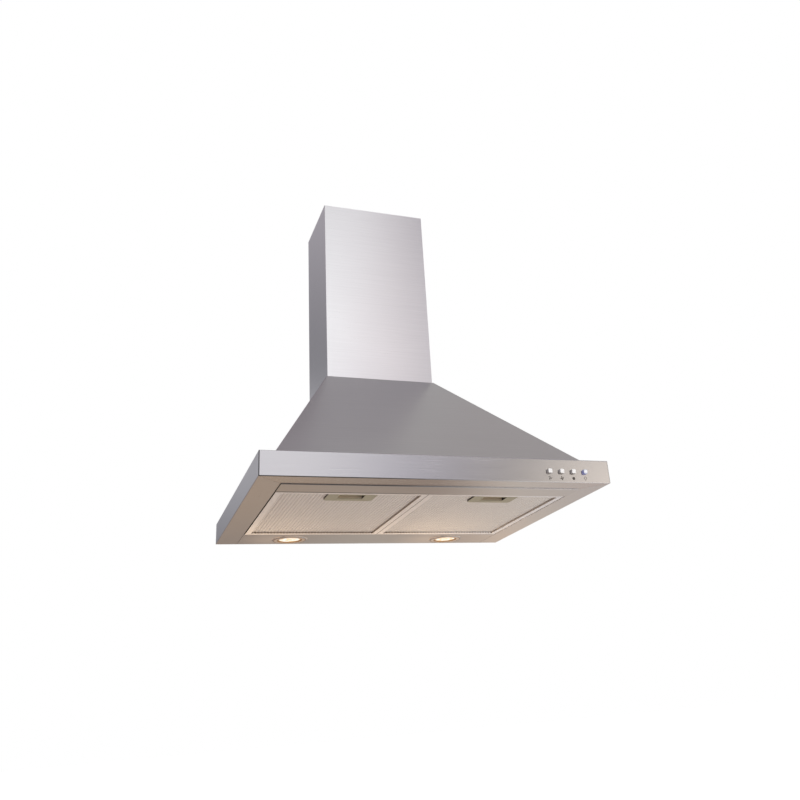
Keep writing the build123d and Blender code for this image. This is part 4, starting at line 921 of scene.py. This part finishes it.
def filter_mesh(side):
    """Expanded aluminium mesh in ridges that run from front to back, open round the handle."""
    low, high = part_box(f"filter_mesh_{side}")
    frame_low, frame_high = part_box(f"filter_frame_{side}")
    handle_low, handle_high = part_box(f"filter_handle_{side}")
    xs = marks(low.x, high.x, mesh_rows(side))
    ys = marks(low.y, high.y, round((high.y - low.y) / MESH_CELL))
    sheet = MeshSheet()
    for x0, x1 in zip(xs, xs[1:]):
        for y0, y1 in zip(ys, ys[1:]):
            if within_handle(x0, x1, y1, handle_low, handle_high):
                continue
            in_x = frame_low.x + FRAME_STRIP < (x0 + x1) / 2 < frame_high.x - FRAME_STRIP
            in_y = frame_low.y + FRAME_STRIP < (y0 + y1) / 2 < frame_high.y - FRAME_STRIP
            stretch = sheet.cell if in_x and in_y else sheet.covered
            for outside, into in ((low.z, 1), (high.z, -1)):
                stretch(x0, x1, y0, y1, outside, into)
    piece = new_piece(
        f"filter_mesh_sheet_{side}",
        sheet.points,
        sheet.faces,
        (FINISHES["mesh_aluminium"], FINISHES["mesh_hole_painted_shade"]),
        f"filter_{side}",
    )
    piece.data.polygons.foreach_set("material_index", [int(d) for d in sheet.dark])
    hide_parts(f"filter_mesh_{side}")


class Sign:
    """A printed sign on the lip, drawn with flat shapes a hair proud of the steel."""

    def __init__(self, button):
        low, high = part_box(button)
        self.name = f"sign_{button}"
        self.x = (low.x + high.x) / 2 + SIGN_SIDE
        self.z = (low.z + high.z) / 2 - SIGN_DROP
        self.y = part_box("lip_front")[0].y
        self.points = []
        self.faces = []

    def shape(self, outline):
        """Adds one closed outline, given anticlockwise in millimetres from the sign's middle."""
        count, first = len(outline), len(self.points)
        for y in (self.y - SIGN_PROUD, self.y + SIGN_PROUD):
            self.points += [(self.x + px * MM, y, self.z + pz * MM) for px, pz in outline]
        front = range(first, first + count)
        back = range(first + count, first + 2 * count)
        self.faces.append(tuple(front))
        self.faces.append(tuple(reversed(back)))
        for k in range(count):
            n = (k + 1) % count
            self.faces.append((front[k], back[k], back[n], front[n]))

    def put_on_lip(self):
        new_piece(self.name, self.points, self.faces, (FINISHES["print"],), "hood")


def polar(radius, angle):
    return radius * math.cos(angle), radius * math.sin(angle)


def blade(angle, inner, outer, width, curl, steps=7):
    """Outline of one curved fan blade, slim at its root and at its tip."""
    start, span, least_radius = 0.12, 0.80, 0.4
    sides = []
    for sign in (-1, 1):
        edge = []
        for k in range(steps + 1):
            t = k / steps
            radius = inner + (outer - inner) * t
            swell = math.sin(math.pi * (start + span * t))
            half_angle = width * swell / max(radius, least_radius)
            edge.append(polar(radius, angle + curl * t + sign * half_angle))
        sides.append(edge)
    return sides[0] + sides[1][::-1]


def fan_sign(button, blades, radius, width, curl):
    """A fan: the more blades, the faster the speed."""
    hub, first = 0.45, math.radians(70)
    sign = Sign(button)
    for k in range(blades):
        sign.shape(blade(first + 2 * math.pi * k / blades, hub, radius, width, curl))
    sign.put_on_lip()


def bulb_sign(button):
    """A lamp bulb in outline with two bars for its cap."""
    outer, inner, middle, steps = 2.7, 1.95, 0.9, 18
    start, sweep = math.radians(-60), math.radians(300)
    half_bar, half_thick, bars = 0.9, 0.22, (-1.9, -2.7)
    sign = Sign(button)
    for k in range(steps):
        a, b = start + sweep * k / steps, start + sweep * (k + 1) / steps
        ring = [polar(outer, a), polar(outer, b), polar(inner, b), polar(inner, a)]
        sign.shape([(px, pz + middle) for px, pz in ring])
    for bar in bars:
        low, high = bar - half_thick, bar + half_thick
        sign.shape([(-half_bar, low), (half_bar, low), (half_bar, high), (-half_bar, high)])
    sign.put_on_lip()


def button_signs():
    fan_sign("button_fan_low", blades=3, radius=3.9, width=0.95, curl=1.3)
    fan_sign("button_fan_medium", blades=4, radius=3.8, width=0.95, curl=0.8)
    fan_sign("button_fan_high", blades=8, radius=3.1, width=0.80, curl=0.5)
    bulb_sign("button_light")


def make_camera():
    """The camera that took the picture, shifted as its crop needs."""
    data = bpy.data.cameras.new("camera")
    data.sensor_width = SENSOR_MM
    data.lens = FOCAL_PX * SENSOR_MM / IMAGE_PX
    data.shift_x = (IMAGE_PX / 2 - CENTRE_PX[0]) / IMAGE_PX
    data.shift_y = (CENTRE_PX[1] - IMAGE_PX / 2) / IMAGE_PX
    camera = bpy.data.objects.new("camera", data)
    az, el, roll = (math.radians(a) for a in (CAMERA_AZIMUTH, CAMERA_ELEVATION, CAMERA_ROLL))
    forward = Vector((math.sin(az) * math.cos(el), math.cos(az) * math.cos(el), math.sin(el)))
    right = Vector((math.cos(az), -math.sin(az), 0.0))
    up = right.cross(forward)
    tilted_right = math.cos(roll) * right + math.sin(roll) * up
    tilted_up = math.cos(roll) * up - math.sin(roll) * right
    turn = Matrix((tilted_right, tilted_up, -forward)).transposed()
    camera.matrix_world = Matrix.Translation(CAMERA_PLACE) @ turn.to_4x4()
    bpy.context.scene.collection.objects.link(camera)
    bpy.context.scene.camera = camera


def seen_directly(f):
    """1 for camera, mirror and glass rays, 0 for the rays that light the hood."""
    rays = ("Is Camera Ray", "Is Glossy Ray", "Is Transmission Ray")
    camera, glossy, through = (f.node("ShaderNodeLightPath", output=ray) for ray in rays)
    return (camera + glossy + through).above(0.5)


def make_world():
    """An even white room."""
    world = bpy.data.worlds.new("white_room")
    bpy.context.scene.world = world
    f = Finish(world)
    strength = ROOM_LIGHT + (1.0 - ROOM_LIGHT) * seen_directly(f)
    sky = f.node("ShaderNodeBackground", sockets={"Color": WHITE, "Strength": strength})
    f.end(sky, "ShaderNodeOutputWorld")


def flat_sheet(name, across, deep, z, material):
    """A level sheet of the stage, between two places across and two deep."""
    (x0, x1), (y0, y1) = across, deep
    corners = [(x0, y0, z), (x1, y0, z), (x1, y1, z), (x0, y1, z)]
    sheet = new_object(name, corners, [(0, 1, 2, 3)], (material,))
    return sheet


def hide_from_camera(sheet):
    sheet.visible_camera = False
    sheet.visible_transmission = False
    sheet.visible_shadow = False


def make_floor():
    """Pale paper that keeps the shadow of the hood."""
    f = new_finish("pale_floor")
    paper = f.node("ShaderNodeBsdfDiffuse", sockets={"Color": FLOOR_PAPER})
    white = f.node("ShaderNodeEmission", sockets={"Color": WHITE, "Strength": FLOOR_WHITENING})
    lit = f.node("ShaderNodeAddShader", sockets={0: paper, 1: white})
    material = f.end(f.node("ShaderNodeMixShader", sockets={0: seen_directly(f), 1: paper, 2: lit}))
    reach = (-FLOOR_SIZE / 2, FLOOR_SIZE / 2)
    flat_sheet("floor", reach, reach, FLOOR_Z, material)


def sweep_tone(f):
    """Colours of the cards round the hood: warm below, grey behind, bright and fading in front."""
    x, y, z = (f.part_of_place(axis) for axis in "XYZ")
    height = (z - FLOOR_Z) / (SWEEP_TOP - FLOOR_Z)
    across = (x + SWEEP_HALF_WIDTH) / (2.0 * SWEEP_HALF_WIDTH)

    def then(below, fade, stops, place=across):
        """The next card up, which fades in over the one below."""
        return f.mix(f.fade(z, *fade), below, f.ramp(stops, place))

    behind = f.ramp(COUNTER_STOPS, across)
    behind = then(behind, COUNTER_FADE, REAR_COUNTER_STOPS)
    behind = then(behind, REAR_COUNTER_FADE, BEHIND_STOPS, height)
    behind = then(behind, BEHIND_FADE, HIGH_BEHIND_STOPS)
    front = f.ramp(LOW_FRONT_STOPS, across)
    front = then(front, LOW_FRONT_FADE, HIGH_FRONT_STOPS)
    front = then(front, HIGH_FRONT_FADE, TOP_FRONT_STOPS)
    front = then(front, TOP_FRONT_FADE, CEILING_STOPS)
    ends = f.mix(y.above((FRONT_CARD_Y + BACK_CARD_Y) / 2), front, behind)
    return f.mix(x.above(LEFT_WALL_EDGE - SWEEP_HALF_WIDTH), LEFT_WALL, ends)


def make_sweep():
    """Cards in front, above, behind and on the left that the steel mirrors; the camera looks past them."""
    f = new_finish("studio_sweep")
    sockets = {"Color": sweep_tone(f), "Strength": CARD_STRENGTH}
    material = f.end(f.node("ShaderNodeEmission", sockets=sockets))
    front, back = FRONT_CARD_Y, BACK_CARD_Y
    section = [(front, FLOOR_Z), (front, SWEEP_TOP), (back, SWEEP_TOP), (back, FLOOR_Z)]
    corners = [(x, y, z) for y, z in section for x in (-SWEEP_HALF_WIDTH, SWEEP_HALF_WIDTH)]
    faces = [(0, 1, 3, 2), (2, 3, 5, 4), (4, 5, 7, 6), (0, 2, 4, 6)]
    sweep = new_object("studio_sweep", corners, faces, (material,))
    hide_from_camera(sweep)


def make_floor_card():
    """Warm card on the floor, like the worktop below a hood, which the steel mirrors."""
    f = new_finish("floor_card")
    left, right = FLOOR_CARD_ACROSS
    across = (f.part_of_place("X") - left) / (right - left)
    sockets = {"Color": f.ramp(FLOOR_CARD_STOPS, across), "Strength": 1.0}
    material = f.end(f.node("ShaderNodeEmission", sockets=sockets))
    height = FLOOR_Z + FLOOR_CARD_LIFT
    floor_card = flat_sheet("floor_card", FLOOR_CARD_ACROSS, FLOOR_CARD_DEEP, height, material)
    hide_from_camera(floor_card)
    floor_card.visible_diffuse = False


def make_lights():
    """A small warm light below each lamp, for the light that the lamps throw on the filters."""
    for side in SIDES:
        low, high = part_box(f"lamp_lens_{side}")
        data = bpy.data.lights.new(f"lamp_glow_{side}", "POINT")
        data.energy = GLOW_WATTS[side]
        data.color = GLOW_COLOUR
        data.shadow_soft_size = GLOW_SIZE
        glow = bpy.data.objects.new(f"lamp_glow_{side}", data)
        underside = Vector(((low.x + high.x) / 2, (low.y + high.y) / 2, low.z))
        glow.location = underside + Vector(GLOW_SHIFT)
        glow.visible_camera = False
        glow.visible_glossy = False
        bpy.context.scene.collection.objects.link(glow)


dress_nodes()
for side in SIDES:
    filter_mesh(side)
button_signs()
make_camera()
make_world()
make_floor()
make_sweep()
make_floor_card()
make_lights()
bpy.context.scene.view_settings.view_transform = "Standard"
